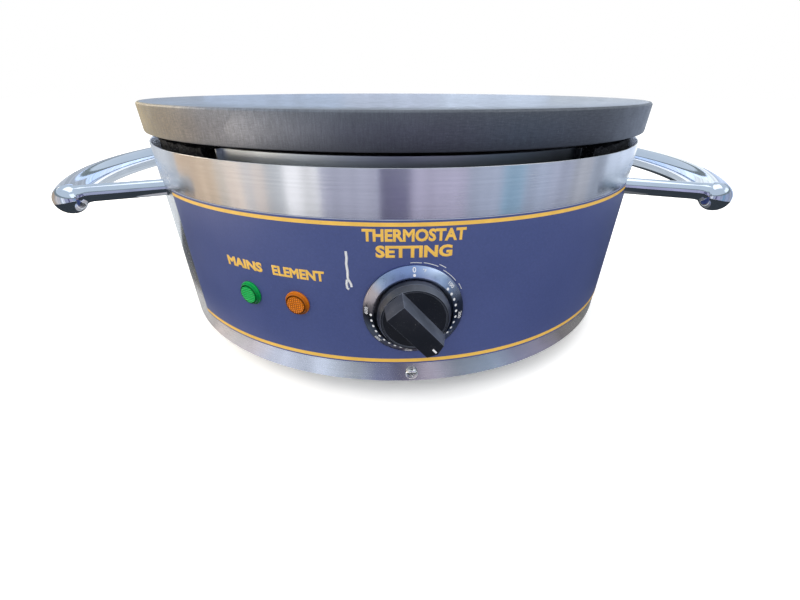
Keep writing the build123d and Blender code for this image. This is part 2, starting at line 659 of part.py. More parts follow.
with BuildPart() as control_knob:
    with BuildSketch(dial_section):
        with BuildLine():
            Polyline(
                (0, KNOB_FACE),
                (KNOB_FACE_R, KNOB_FACE),
                (KNOB_R, KNOB_SHOULDER),
                (KNOB_R, KNOB_BACK),
                (KNOB_R - KNOB_WALL, KNOB_BACK),
                (KNOB_R - KNOB_WALL, KNOB_FACE - KNOB_WALL),
                (HUB_R, KNOB_FACE - KNOB_WALL),
                (HUB_R, KNOB_BACK),
                (0, KNOB_BACK),
                close=True,
            )
        make_face()
    revolve(axis=dial_axis)
    with BuildSketch(pointer_plane(GRIP_FROM)):
        grip_outline(18.4, 20.2, 23.0, 6.1, 6.5)
    with BuildSketch(pointer_plane(KNOB_FRONT)):
        grip_outline(17.1, 15.0, 17.8, 5.6, 6.0)
    loft()
    fillet(control_knob.faces().sort_by(Axis.Y)[0].edges(), 0.6)
    with BuildSketch(pointer_plane(KNOB_BACK)):
        Circle(SPINDLE_R + HAIR)
        with Locations((0, BORE_FLAT + 5)):
            Rectangle(10, 10, mode=Mode.SUBTRACT)
    extrude(amount=BORE_END - KNOB_BACK, mode=Mode.SUBTRACT)
    with BuildSketch(pointer_plane(KNOB_FRONT)):
        with Locations((14.8, 0)):
            SlotOverall(MARK_L, MARK_W)
    extrude(amount=-0.4, mode=Mode.SUBTRACT)
keep(control_knob, "control_knob")

with BuildPart() as knob_pointer_mark:
    with BuildSketch(pointer_plane(KNOB_FRONT)):
        with Locations((14.8, 0)):
            SlotOverall(MARK_L, MARK_W)
    extrude(amount=-0.4)
keep(knob_pointer_mark, "knob_pointer_mark")

with BuildPart() as knob_clip:
    with BuildSketch(pointer_plane(KNOB_BACK + 1)):
        with Locations((0, (SPINDLE_FLAT + BORE_FLAT) / 2)):
            Rectangle(3.4, BORE_FLAT - SPINDLE_FLAT - 2 * HAIR)
    extrude(amount=11)
keep(knob_clip, "knob_clip")

# ---------------------------------------------------------------- bulb, its leaf spring, capillary
with BuildPart() as thermostat_bulb:
    with BuildSketch(Plane(origin=(-BULB_L / 2, BULB_Y, BULB_Z), z_dir=(1, 0, 0))):
        Circle(BULB_R)
    extrude(amount=BULB_L)
    fillet(thermostat_bulb.edges().filter_by(GeomType.CIRCLE), 1.2)
keep(thermostat_bulb, "thermostat_bulb")

LEAF_SPAN, LEAF_T, LEAF_W = 12.0, 0.5, 16.0
leaf_top = BULB_Z - BULB_R - HAIR
with BuildPart() as bulb_spring:
    with BuildSketch(Plane(origin=(-LEAF_W / 2, BULB_Y, 0), x_dir=(0, 1, 0), z_dir=(1, 0, 0))):
        with BuildLine():
            over = ThreePointArc(
                (-LEAF_SPAN, Z_CLAMP_TOP + LEAF_T), (0, leaf_top), (LEAF_SPAN, Z_CLAMP_TOP + LEAF_T)
            )
            Line(over @ 1, (LEAF_SPAN, Z_CLAMP_TOP))
            under = ThreePointArc(
                (LEAF_SPAN, Z_CLAMP_TOP), (0, leaf_top - LEAF_T), (-LEAF_SPAN, Z_CLAMP_TOP)
            )
            Line(under @ 1, over @ 0)
        make_face()
    extrude(amount=LEAF_W)
keep(bulb_spring, "bulb_spring")


def tube_along(points, radii, radius):
    """Round tube along straight runs joined by arcs."""
    with BuildPart() as tube:
        with BuildLine() as route:
            FilletPolyline(*points, radius=radii)
        with BuildSketch(Plane(origin=route.wires()[0] @ 0, z_dir=route.wires()[0] % 0)):
            Circle(radius)
        sweep(path=route.wires()[0])
    return tube


capillary_points = [
    (10, -BODY_BACK + HAIR, 82),
    (10, -142, 82),
    (*capillary_place, 82),
    (*capillary_place, BULB_Z),
    (BULB_L / 2 + HAIR, BULB_Y, BULB_Z),
]
thermostat_capillary = tube_along(capillary_points, [6, 8, 6], CAPILLARY_R)
keep(thermostat_capillary, "thermostat_capillary")

# ---------------------------------------------------------------- pilot lamps
LAMP_BODY_R, LAMP_BACK = 6.2, 175.0
LAMP_TAB_L, LAMP_TAB_X = 6.0, 3.0
LAMP_SEAT = OVERLAY_R + 0.1
LAMP_FLANGE_R, LAMP_FLANGE_T = 7.8, 1.1
LAMP_LENS_R, LAMP_LENS_FRONT_R, LAMP_LENS_H = 6.8, 6.2, 3.3
for colour, azimuth in (("green", GREEN_LAMP_AZ), ("amber", AMBER_LAMP_AZ)):
    with BuildPart() as lamp_lens:
        with BuildSketch(azimuth_plane(azimuth, LAMP_SEAT, Z_BASE + LAMP_Z)):
            Circle(LAMP_FLANGE_R)
        extrude(amount=LAMP_FLANGE_T)
        with BuildSketch(azimuth_plane(azimuth, LAMP_SEAT + LAMP_FLANGE_T, Z_BASE + LAMP_Z)):
            Circle(LAMP_LENS_R)
        with BuildSketch(azimuth_plane(azimuth, LAMP_SEAT + LAMP_LENS_H, Z_BASE + LAMP_Z)):
            Circle(LAMP_LENS_FRONT_R)
        loft()
        outward = Axis((0, 0, 0), azimuth_plane(azimuth, 1, 0).z_dir)
        fillet(lamp_lens.faces().sort_by(outward)[-1].edges(), 0.6)
    keep(lamp_lens, f"{colour}_lamp_lens")
    with BuildPart() as lamp_body:
        with BuildSketch(azimuth_plane(azimuth, LAMP_BACK, Z_BASE + LAMP_Z)):
            Circle(LAMP_BODY_R)
        extrude(amount=LAMP_SEAT - HAIR - LAMP_BACK)
        with BuildSketch(azimuth_plane(azimuth, LAMP_BACK, Z_BASE + LAMP_Z)):
            with Locations((-LAMP_TAB_X, 0), (LAMP_TAB_X, 0)):
                Rectangle(0.8, 4.8)
        extrude(amount=-LAMP_TAB_L)
    keep(lamp_body, f"{colour}_lamp_body")

with BuildPart() as lamp_nuts:
    for azimuth in (GREEN_LAMP_AZ, AMBER_LAMP_AZ):
        with BuildSketch(azimuth_plane(azimuth, 194.6, Z_BASE + LAMP_Z)):
            RegularPolygon(8.5, 6, major_radius=False)
            Circle(LAMP_BODY_R + HAIR, mode=Mode.SUBTRACT)
        extrude(amount=2.6)
keep(lamp_nuts, "lamp_nuts")

# ---------------------------------------------------------------- terminal block and earth stud
BLOCK_X, BLOCK_Y, BLOCK_PITCH = 55.0, 125.0, 14.0
BLOCK_H = 22.0
block_columns = [(BLOCK_X + i * BLOCK_PITCH, BLOCK_Y) for i in (-1, 0, 1)]
with BuildPart() as terminal_block:
    with BuildSketch(Plane.XY.offset(Z_BASE_TOP + HAIR)):
        with Locations((BLOCK_X, BLOCK_Y)):
            RectangleRounded(44, 22, 2)
    extrude(amount=BLOCK_H)
    with BuildSketch(Plane.XY.offset(Z_BASE_TOP + BLOCK_H)):
        with Locations(*[(x, y - 6) for x, y in block_columns]):
            Circle(2.6)
    extrude(amount=-10, mode=Mode.SUBTRACT)
keep(terminal_block, "terminal_block")

with BuildPart() as block_screws:
    with BuildSketch(Plane.XY.offset(Z_BASE_TOP + BLOCK_H - 9.5)):
        with Locations(*[(x, y - 6) for x, y in block_columns]):
            Circle(2.5)
    extrude(amount=4.5)
keep(block_screws, "block_screws")

EARTH_PLACE = (95.0, 95.0)
with BuildPart() as earth_stud:
    with BuildSketch(Plane.XY.offset(Z_BASE_TOP + HAIR)):
        with Locations(EARTH_PLACE):
            RegularPolygon(4, 6, major_radius=False)
    extrude(amount=3.5)
    with BuildSketch(Plane.XY.offset(Z_BASE_TOP + 3)):
        with Locations(EARTH_PLACE):
            Circle(2.45)
    extrude(amount=14)
keep(earth_stud, "earth_stud")

# ---------------------------------------------------------------- fixed wiring inside the body
WIRE_R = 1.3
LAMP_TAB_END = LAMP_BACK - LAMP_TAB_L - HAIR


def behind_lamp(azimuth, side, radius):
    """Point behind one tab of a pilot lamp, side -1 or 1, this far from the body's axis."""
    a = radians(azimuth)
    along = side * LAMP_TAB_X
    return (
        radius * sin(a) + along * cos(a),
        -radius * cos(a) + along * sin(a),
        Z_BASE + LAMP_Z,
    )


outer_pin = (*drops[0], Z_COLD_END - PIN_L - HAIR)
inner_pin = (*drops[1], Z_COLD_END - PIN_L - HAIR)
block_front = BLOCK_Y - 11 - HAIR
block_top = Z_BASE_TOP + BLOCK_H + 2 * HAIR
wire_routes = [
    [(41, block_front, 35), (41, 88, 35), (-10, -100, 35), (-10, -140, 66), (-10, -BODY_BACK + HAIR, 66)],
    [(10, -BODY_BACK + HAIR, 66), (10, -135, 66), (70, 60, 80), (*drops[0], 80), outer_pin],
    [inner_pin, (*drops[1], 62), (BLOCK_X, BLOCK_Y + 4, 62), (BLOCK_X, BLOCK_Y + 4, block_top)],
    [
        (69, block_front, 35),
        (69, 88, 35),
        (-30, -95, 45),
        behind_lamp(AMBER_LAMP_AZ, 1, 150),
        behind_lamp(AMBER_LAMP_AZ, 1, LAMP_TAB_END),
    ],
    [
        behind_lamp(AMBER_LAMP_AZ, -1, LAMP_TAB_END),
        behind_lamp(AMBER_LAMP_AZ, -1, 155),
        behind_lamp(GREEN_LAMP_AZ, 1, 155),
        behind_lamp(GREEN_LAMP_AZ, 1, LAMP_TAB_END),
    ],
]
wire_parts = [tube_along(route, 7, WIRE_R) for route in wire_routes]
with BuildPart() as internal_wiring:
    for wire in wire_parts:
        add(wire.part)
keep(internal_wiring, "internal_wiring")

# ---------------------------------------------------------------- cable gland at the rear
GLAND_THREAD_R, GLAND_BORE_R, SEAL_BORE_R = 10.0, 5.6, 4.5
GLAND_SEAT = SHELL_R + HAIR
GLAND_HEX_END = 204.8
GLAND_NECK_R, GLAND_NECK_END = 9.0, 214.0
SEAL_R, SEAL_FROM, SEAL_L = 7.5, 206.0, 10.0
DOME_END = KNOB_FRONT


def gland_plane(distance):
    """Plane across the gland's axis at this distance from the body's axis, facing the rear."""
    return azimuth_plane(180, distance, GLAND_Z)


with BuildPart() as cable_gland_body:
    with BuildSketch(gland_plane(GLAND_SEAT)):
        RegularPolygon(13, 6, major_radius=False)
    extrude(amount=GLAND_HEX_END - GLAND_SEAT)
    with BuildSketch(gland_plane(186)):
        Circle(GLAND_THREAD_R)
    extrude(amount=GLAND_SEAT - 186)
    with BuildSketch(gland_plane(GLAND_HEX_END)):
        Circle(GLAND_NECK_R)
    extrude(amount=GLAND_NECK_END - GLAND_HEX_END)
    with BuildSketch(gland_plane(186)):
        Circle(GLAND_BORE_R)
    extrude(amount=GLAND_NECK_END - 186, mode=Mode.SUBTRACT)
    with BuildSketch(gland_plane(SEAL_FROM)):
        Circle(SEAL_R)
    extrude(amount=GLAND_NECK_END - SEAL_FROM, mode=Mode.SUBTRACT)
keep(cable_gland_body, "cable_gland_body")

with BuildPart() as cable_gland_lock_nut:
    with BuildSketch(gland_plane(191.8)):
        RegularPolygon(13.5, 6, major_radius=False)
        Circle(GLAND_THREAD_R + HAIR, mode=Mode.SUBTRACT)
    extrude(amount=5)
keep(cable_gland_lock_nut, "cable_gland_lock_nut")

with BuildPart() as cable_gland_seal:
    with BuildSketch(gland_plane(SEAL_FROM + HAIR)):
        Circle(SEAL_R - HAIR)
        Circle(SEAL_BORE_R, mode=Mode.SUBTRACT)
    extrude(amount=SEAL_L)
keep(cable_gland_seal, "cable_gland_seal")

with BuildPart() as cable_gland_dome:
    with BuildSketch(gland_plane(GLAND_HEX_END + HAIR)):
        RegularPolygon(12, 6, major_radius=False)
    extrude(amount=10)
    with BuildSketch(gland_plane(GLAND_HEX_END + 10)):
        Circle(11.6)
    with BuildSketch(gland_plane(DOME_END)):
        Circle(7.4)
    loft()
    fillet(cable_gland_dome.faces().sort_by(Axis.Y)[-1].edges(), 1.5)
    with BuildSketch(gland_plane(GLAND_HEX_END)):
        Circle(GLAND_NECK_R + HAIR)
    extrude(amount=GLAND_NECK_END - GLAND_HEX_END + HAIR, mode=Mode.SUBTRACT)
    with BuildSketch(gland_plane(GLAND_NECK_END)):
        Circle(SEAL_R + HAIR)
    extrude(amount=SEAL_FROM + SEAL_L + 3 * HAIR - GLAND_NECK_END, mode=Mode.SUBTRACT)
    with BuildSketch(gland_plane(GLAND_NECK_END)):
        Circle(5.2)
    extrude(amount=DOME_END - GLAND_NECK_END, mode=Mode.SUBTRACT)
keep(cable_gland_dome, "cable_gland_dome")

print(len(made), "nodes")
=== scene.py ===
"""Looks of a round electric crepe maker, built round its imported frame.

Sizes are metres in the frame's own axes: +Z up, -Y the front with the thermostat knob.
Round the body, an azimuth is the angle in degrees from the front, positive towards +X.
"""

import json
import logging
from collections.abc import Callable, Iterator, Sequence
from contextlib import contextmanager
from dataclasses import dataclass
from enum import Enum
from functools import cached_property
from math import cos, pi, radians, sin

import bmesh
import bpy
from mathutils import Matrix, Vector

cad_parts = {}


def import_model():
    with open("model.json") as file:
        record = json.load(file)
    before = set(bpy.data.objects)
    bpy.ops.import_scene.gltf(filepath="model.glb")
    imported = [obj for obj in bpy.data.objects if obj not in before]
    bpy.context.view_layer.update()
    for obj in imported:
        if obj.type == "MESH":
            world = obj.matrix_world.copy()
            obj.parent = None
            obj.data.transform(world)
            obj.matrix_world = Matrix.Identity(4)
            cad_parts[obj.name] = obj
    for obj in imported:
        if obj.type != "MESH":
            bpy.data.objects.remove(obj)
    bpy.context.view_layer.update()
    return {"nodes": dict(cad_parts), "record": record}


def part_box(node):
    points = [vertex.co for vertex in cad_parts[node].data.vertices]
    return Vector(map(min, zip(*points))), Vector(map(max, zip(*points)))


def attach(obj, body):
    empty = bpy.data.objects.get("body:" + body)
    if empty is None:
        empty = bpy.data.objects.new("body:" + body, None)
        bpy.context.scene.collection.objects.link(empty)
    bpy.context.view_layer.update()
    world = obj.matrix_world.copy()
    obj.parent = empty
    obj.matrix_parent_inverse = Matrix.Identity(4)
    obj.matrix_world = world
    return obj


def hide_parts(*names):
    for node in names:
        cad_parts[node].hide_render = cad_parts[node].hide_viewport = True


LOG = logging.getLogger("crepe_maker")
MM = 0.001
PRINT = 0.04 * MM  # thickness of a print
DIAL_HEIGHT = 73.8 * MM
LAMP_HEIGHT = 74.2 * MM
GREEN_AT, AMBER_AT = -29.6, -19.8  # azimuths of the lamps

Piece = bpy.types.Object
Socket = bpy.types.NodeSocket
Colour = tuple[float, float, float]
Ring = tuple[float, float]
Stops = Sequence[tuple[float, Colour]]


class Element(Enum):
    """Kinds of mesh element that a selection in edit mode works on."""

    VERT = "verts"
    EDGE = "edges"
    FACE = "faces"


class Body(Enum):
    """Rigid bodies of the frame."""

    HOUSING = "housing"
    KNOB = "thermostat_knob"


class Combine(Enum):
    """Ways in which a second solid changes a first."""

    UNION = "UNION"
    DIFFERENCE = "DIFFERENCE"
    INTERSECT = "INTERSECT"


# ---------------------------------------------------------------- modelling steps


def release() -> None:
    """Leave edit mode and deselect every object."""
    if bpy.context.mode != "OBJECT":
        bpy.ops.object.mode_set(mode="OBJECT")
    bpy.ops.object.select_all(action="DESELECT")


def activate(piece: Piece) -> None:
    """Make the piece the active and only selected object."""
    release()
    piece.select_set(True)
    bpy.context.view_layer.objects.active = piece


def named(name: str) -> Piece:
    """Name the active object and its data, and return it."""
    piece = bpy.context.object
    piece.name = name
    piece.data.name = name
    return piece


@contextmanager
def editing(piece: Piece, element: Element = Element.VERT) -> Iterator[None]:
    """Hold the piece in edit mode.

    Args:
        piece: The piece to edit.
        element: The kind of element that is selected.
    """
    activate(piece)
    bpy.ops.object.mode_set(mode="EDIT")
    bpy.ops.mesh.select_mode(type=element.name)
    yield
    bpy.ops.object.mode_set(mode="OBJECT")


def pick(piece: Piece, element: Element, test: Callable) -> None:
    """Select only the elements that pass a test, in edit mode.

    Args:
        piece: The piece in edit mode.
        element: The kind of element to select.
        test: Says of one element whether it is selected.
    """
    bpy.ops.mesh.select_all(action="DESELECT")
    mesh = bmesh.from_edit_mesh(piece.data)
    for item in getattr(mesh, element.value):
        if test(item):
            item.select_set(True)
    mesh.select_flush_mode()
    bmesh.update_edit_mesh(piece.data)


def mend_normals() -> None:
    """Turn all faces outwards, in edit mode."""
    bpy.ops.mesh.select_all(action="SELECT")
    bpy.ops.mesh.normals_make_consistent(inside=False)


def rings(radius: float, height: float, *steps: Ring) -> list[Ring]:
    """Rings of a profile, a number of millimetres out and up from a radius and a height."""
    return [(radius + out * MM, height + up * MM) for out, up in steps]


def turn(name: str, profile: Sequence[Ring], segments: int, hollow: bool = False) -> Piece:
    """Turn a piece on the Z axis by extruding and scaling a circle from ring to ring.

    Args:
        name: Name of the piece.
        profile: Rings as (radius, height), in order.
        segments: Corners of each ring.
        hollow: Join the last ring to the first instead of capping both.

    Returns:
        The closed piece.
    """
    release()
    (radius, height), *others = profile
    fill = "NOTHING" if hollow else "NGON"
    bpy.ops.mesh.primitive_circle_add(vertices=segments, radius=radius, fill_type=fill)
    piece = named(name)
    with editing(piece):
        bpy.ops.mesh.select_all(action="SELECT")
        bpy.ops.transform.translate(value=(0, 0, height))
        for next_radius, next_height in others:
            step = {"value": (0, 0, next_height - height)}
            bpy.ops.mesh.extrude_region_move(TRANSFORM_OT_translate=step)
            share, pivot = next_radius / radius, (0, 0, next_height)
            bpy.ops.transform.resize(value=(share, share, 1), center_override=pivot)
            radius, height = next_radius, next_height
        if hollow:
            bpy.ops.mesh.select_non_manifold()
            bpy.ops.mesh.bridge_edge_loops()
        mend_normals()
    return piece


def core(radius: float, low: float, high: float, segments: int) -> Piece:
    """Turn a core that clears the body's side, and runs on past both heights."""
    return turn("core", rings(radius, low, (0, -5)) + rings(radius, high, (0, 5)), segments)


def block(name: str, size: Sequence[float], centre: Sequence[float]) -> Piece:
    """Add a block of a size about a centre, its object left at the origin."""
    release()
    bpy.ops.mesh.primitive_cube_add(size=1, location=centre)
    piece = named(name)
    piece.scale = size
    return settle(piece)


def settle(piece: Piece, place: Matrix | None = None) -> Piece:
    """Put the piece in its place, and the place into its mesh."""
    if place is not None:
        piece.matrix_world = place
    activate(piece)
    bpy.ops.object.transform_apply(location=True, rotation=True, scale=True)
    return piece


def smooth(piece: Piece, angle: float = 32.0) -> Piece:
    """Shade the piece smooth, keeping edges sharper than an angle in degrees."""
    activate(piece)
    bpy.ops.object.shade_smooth_by_angle(angle=radians(angle))
    return piece


def modify(piece: Piece, kind: str, **settings: object) -> Piece:
    """Apply a modifier of this kind and these settings to the piece."""
    activate(piece)
    modifier = piece.modifiers.new(kind.lower(), kind)
    for name, value in settings.items():
        setattr(modifier, name, value)
    bpy.ops.object.modifier_apply(modifier=modifier.name)
    return piece


def soften(
    piece: Piece, width: float, segments: int = 2, angle: float = 30.0, finish: int = -1
) -> Piece:
    """Round the piece's sharp edges and smooth its shading.

    Args:
        piece: The piece.
        width: Width of the rounding.
        segments: Facets across the rounding.
        angle: Edges sharper than this many degrees are rounded.
        finish: Material index that the rounded edges take, or -1 for their own.

    Returns:
        The same piece.
    """
    edges = {"limit_method": "ANGLE", "angle_limit": radians(angle), "material": finish}
    return smooth(modify(piece, "BEVEL", width=width, segments=segments, **edges))


def combine(piece: Piece, tool: Piece, way: Combine) -> Piece:
    """Change a solid by a second one, which is used up."""
    modify(piece, "BOOLEAN", operation=way.value, solver="EXACT", object=tool)
    bpy.data.objects.remove(tool)
    return piece


def sweep_round(
    piece: Piece, steps: int, angle: float, gap: float, height: float = 0.0
) -> None:
    """Sweep a section round the body's axis.

    Args:
        piece: The section.
        steps: Divisions of the sweep.
        angle: How far it goes, in degrees.
        gap: Corners closer than this become one.
        height: Height of the sweep's centre.
    """
    with editing(piece):
        bpy.ops.mesh.select_all(action="SELECT")
        centre, turned = (0, 0, height), radians(angle)
        bpy.ops.mesh.spin(steps=steps, angle=turned, center=centre, axis=(0, 0, 1))
        bpy.ops.mesh.select_all(action="SELECT")
        bpy.ops.mesh.remove_doubles(threshold=gap)


def join(name: str, pieces: Sequence[Piece]) -> Piece:
    """Join pieces into one object of this name."""
    release()
    for piece in pieces:
        piece.select_set(True)
    bpy.context.view_layer.objects.active = pieces[0]
    bpy.ops.object.join()
    return named(name)


def copy_of(piece: Piece, name: str) -> Piece:
    """Copy a piece with a mesh of its own."""
    twin = piece.copy()
    twin.data = piece.data.copy()
    twin.name = name
    bpy.context.scene.collection.objects.link(twin)
    return twin


def facing(azimuth: float, radius: float, height: float) -> Matrix:
    """Place on the body's side, its Z pointing outwards and its Y up."""
    a = radians(azimuth)
    x, y = sin(a), -cos(a)
    return Matrix(((-y, 0, x, radius * x), (x, 0, y, radius * y), (0, 1, 0, height), (0, 0, 0, 1)))


def wrap(piece: Piece, azimuth: float, radius: float, height: float) -> Piece:
    """Wrap a flat piece round the body.

    Args:
        piece: A piece with X along the circumference, Y up and Z outwards.
        azimuth: Where the piece's X of 0 goes.
        radius: Distance of the piece's Z of 0 from the axis.
        height: Where the piece's Y of 0 goes.

    Returns:
        The same piece.
    """
    for vertex in piece.data.vertices:
        x, y, z = vertex.co
        a = radians(azimuth) + x / radius
        vertex.co = ((radius + z) * sin(a), -(radius + z) * cos(a), height + y)
    return piece


def band(name: str, radius: float, thickness: float, span: Ring, rise: Ring) -> Piece:
    """Make a thin strip that is wrapped round the body.

    Args:
        name: Name of the strip.
        radius: Radius of its outer face.
        thickness: Its thickness, inwards.
        span: Azimuths of its two ends.
        rise: Heights of its lower and upper edges.

    Returns:
        The strip.
    """
    release()
    start, end = span
    length = radians(end - start) * radius
    steps = max(int(end - start) * 2, 2)
    bpy.ops.mesh.primitive_grid_add(x_subdivisions=steps, y_subdivisions=2, size=1)
    piece = named(name)
    piece.scale = (length, rise[1] - rise[0], 1)
    settle(piece)
    wrap(piece, (start + end) / 2, radius, (rise[0] + rise[1]) / 2)
    return smooth(modify(piece, "SOLIDIFY", thickness=thickness, offset=-1))


def lettering(name: str, words: str, width: float, height: float, weight: float) -> Piece:
    """Set words as a thin flat piece, centred on the origin and facing +Z.

    Args:
        name: Name of the piece.
        words: The words.
        width: Their width, or 0 to keep the letters' own proportions.
        height: Height of the capitals.
        weight: How far the letters are fattened, as a share of their size.

    Returns:
        The piece, as thick as a print.
    """
    release()
    bpy.ops.object.text_add()
    text = bpy.context.object.data
    text.body, text.resolution_u, text.extrude = words, 3, 0.001
    text.bevel_depth, text.bevel_resolution = weight, 0
    bpy.ops.object.convert(target="MESH")
    piece = named(name)
    low, high = Vector(piece.bound_box[0]), Vector(piece.bound_box[6])
    size = high - low
    tall = height / size.y
    wide = width / size.x if width else tall
    scale = Matrix.Diagonal((wide, tall, PRINT / size.z, 1))
    return settle(piece, scale @ Matrix.Translation(-(low + high) / 2))


def strokes(name: str, lines: Sequence[Sequence[Ring]], width: float) -> Piece:
    """Draw lines through points as one thin flat piece that faces +Z.

    Args:
        name: Name of the piece.
        lines: The points of each line, in millimetres.
        width: Width of the lines.

    Returns:
        The piece, as thick as a print.
    """
    release()
    curve = bpy.data.curves.new(name, "CURVE")
    curve.dimensions, curve.use_fill_caps = "3D", True
    curve.bevel_depth, curve.bevel_resolution = width / 2, 0
    for line in lines:
        spline = curve.splines.new("POLY")
        spline.points.add(len(line) - 1)
        for point, (x, y) in zip(spline.points, line):
            point.co = (x * MM, y * MM, 0, 1)
    drawn = bpy.data.objects.new(name, curve)
    bpy.context.scene.collection.objects.link(drawn)
    activate(drawn)
    bpy.ops.object.convert(target="MESH")
    return settle(named(name), Matrix.Diagonal((1, 1, PRINT / width, 1)))


# ---------------------------------------------------------------- finishes


class Graph:
    """Node tree of a material or of the surroundings, with short calls for its nodes."""

    def __init__(self, tree: bpy.types.NodeTree) -> None:
        """Take over a tree."""
        self.tree = tree

    @classmethod
    def fresh(cls, name: str) -> "Graph":
        """Start a material of this name."""
        material = bpy.data.materials.new(name)
        material.use_nodes = True
        graph = cls(material.node_tree)
        graph.material = material
        return graph

    @cached_property
    def place(self) -> Socket:
        """Object coordinates."""
        return self.node("TexCoord").outputs["Object"]

    def node(self, kind: str, **inputs: object) -> bpy.types.Node:
        """Add a node and feed its inputs, whose spaces are written as underscores."""
        node = self.tree.nodes.new(f"ShaderNode{kind}")
        for name, value in inputs.items():
            self.feed(node.inputs[name.replace("_", " ")], value)
        return node

    def feed(self, socket: Socket, value: object) -> None:
        """Link a socket into an input, or set the input's value."""
        if isinstance(value, bpy.types.NodeSocket):
            self.tree.links.new(value, socket)
        else:
            socket.default_value = value

    def shade(self, **inputs: object) -> None:
        """Feed the shader's own inputs."""
        for name, value in inputs.items():
            self.feed(self.tree.nodes["Principled BSDF"].inputs[name.replace("_", " ")], value)

    def surface(self, node: bpy.types.Node) -> None:
        """Let a node stand for the shader."""
        self.feed(self.tree.nodes["Material Output"].inputs["Surface"], node.outputs[0])
        self.tree.nodes.remove(self.tree.nodes["Principled BSDF"])

    def calc(self, operation: str, first: object, second: object = 0.0) -> Socket:
        """Work out one value from two."""
        node = self.node("Math")
        node.operation = operation
        self.feed(node.inputs[0], first)
        self.feed(node.inputs[1], second)
        return node.outputs[0]

    def plus(self, first: object, second: object) -> Socket:
        """Sum of two values."""
        return self.calc("ADD", first, second)

    def times(self, first: object, second: object) -> Socket:
        """Product of two values."""
        return self.calc("MULTIPLY", first, second)

    def apart(self, source: Socket | None = None) -> bpy.types.NodeOutputs:
        """Split a vector, or the object coordinates, into X, Y and Z."""
        return self.node("SeparateXYZ", Vector=source or self.place).outputs

    def stretch(self, x: float, y: float, z: float, source: Socket | None = None) -> Socket:
        """Scale the coordinates along each axis."""
        return self.node("Mapping", Vector=source or self.place, Scale=(x, y, z)).outputs[0]

    def unrolled(self, radius: float = 0.2) -> Socket:
        """Coordinates on a cylinder round Z: along the circumference, and up."""
        apart = self.apart()
        angle = self.calc("ARCTAN2", apart["X"], self.times(apart["Y"], -1.0))
        return self.node("CombineXYZ", X=self.times(angle, radius), Y=apart["Z"]).outputs[0]

    def noise(self, scale: float, detail: float = 3.0, source: Socket | None = None) -> Socket:
        """Soft noise from 0 to 1."""
        source = source or self.place
        return self.node("TexNoise", Vector=source, Scale=scale, Detail=detail).outputs["Fac"]

    def streaks(self, x: float, y: float, source: Socket, detail: float = 3.0) -> Socket:
        """Noise that is drawn out along one axis of a surface."""
        return self.noise(1.0, detail, self.stretch(x, y, 1, source))

    def span(
        self, value: Socket, low: float, high: float, to_low: float = 0.0, to_high: float = 1.0
    ) -> Socket:
        """Carry a value from one range to another, clamped."""
        ranges = {"From_Min": low, "From_Max": high, "To_Min": to_low, "To_Max": to_high}
        return self.node("MapRange", Value=value, **ranges).outputs[0]

    def round_share(self, across: Socket, up: Socket) -> Socket:
        """Angle from the up axis towards the across axis, as a share of a turn, 0.5 at the top."""
        return self.plus(self.calc("DIVIDE", self.calc("ARCTAN2", across, up), 2 * pi), 0.5)

    def ramp(self, share: Socket, stops: Stops) -> Socket:
        """Colour that a value from 0 to 1 picks from a row of stops."""
        node = self.node("ValToRGB", Fac=share)
        elements = node.color_ramp.elements
        for element, (position, tone) in zip(elements, (stops[0], stops[-1])):
            element.position, element.color = position, (*tone, 1.0)
        for position, tone in stops[1:-1]:
            elements.new(position).color = (*tone, 1.0)
        return node.outputs["Color"]

    def tint(self, factor: object, first: object, second: object) -> Socket:
        """Mix two colours, each a colour or a socket."""
        mix = self.node("Mix")
        mix.data_type = "RGBA"
        self.feed(mix.inputs[0], factor)
        for socket, value in ((mix.inputs[6], first), (mix.inputs[7], second)):
            self.feed(socket, (*value, 1.0) if isinstance(value, tuple) else value)
        return mix.outputs[2]

    def layer(
        self, colour: object, mask: Socket, low: float, high: float, amount: float, over: object
    ) -> Socket:
        """Lay a second colour over a first.

        Args:
            colour: The first colour.
            mask: Where the second one lies.
            low: Value of the mask up to which nothing of it shows.
            high: Value of the mask from which it shows fully.
            amount: How much of it shows there.
            over: The second colour.

        Returns:
            The mixed colour.
        """
        return self.tint(self.span(mask, low, high, 0, amount), colour, over)

    def bump(
        self, height: Socket, distance: float, strength: float = 1.0, under: Socket | None = None
    ) -> Socket:
        """Turn a height into a normal, over another normal if one is given."""
        node = self.node("Bump", Height=height, Distance=distance, Strength=strength)
        if under is not None:
            self.feed(node.inputs["Normal"], under)
        return node.outputs[0]


@dataclass(frozen=True)
class Finish:
    """What all finishes have.

    Attributes:
        name: Name of the material.
        colour: Its main colour, linear.
        rough: Its mean roughness.
    """

    name: str
    colour: Colour
    rough: float

    def paint(self, graph: Graph) -> None:
        """Draw the finish into a fresh graph."""
        raise NotImplementedError

    def at(self, share: float) -> Colour:
        """The main colour at a share of its brightness."""
        return tuple(channel * share for channel in self.colour)

    def patchy(self, graph: Graph, patches: Socket, less: float, more: float) -> Socket:
        """Roughness that varies from patch to patch."""
        return graph.span(patches, 0.3, 0.7, self.rough - less, self.rough + more)

    def material(self) -> bpy.types.Material:
        """The material, made the first time that it is asked for."""
        if self not in MADE:
            graph = Graph.fresh(f"finish_{self.name}")
            self.paint(graph)
            MADE[self] = graph.material
        return MADE[self]


MADE: dict[Finish, bpy.types.Material] = {}


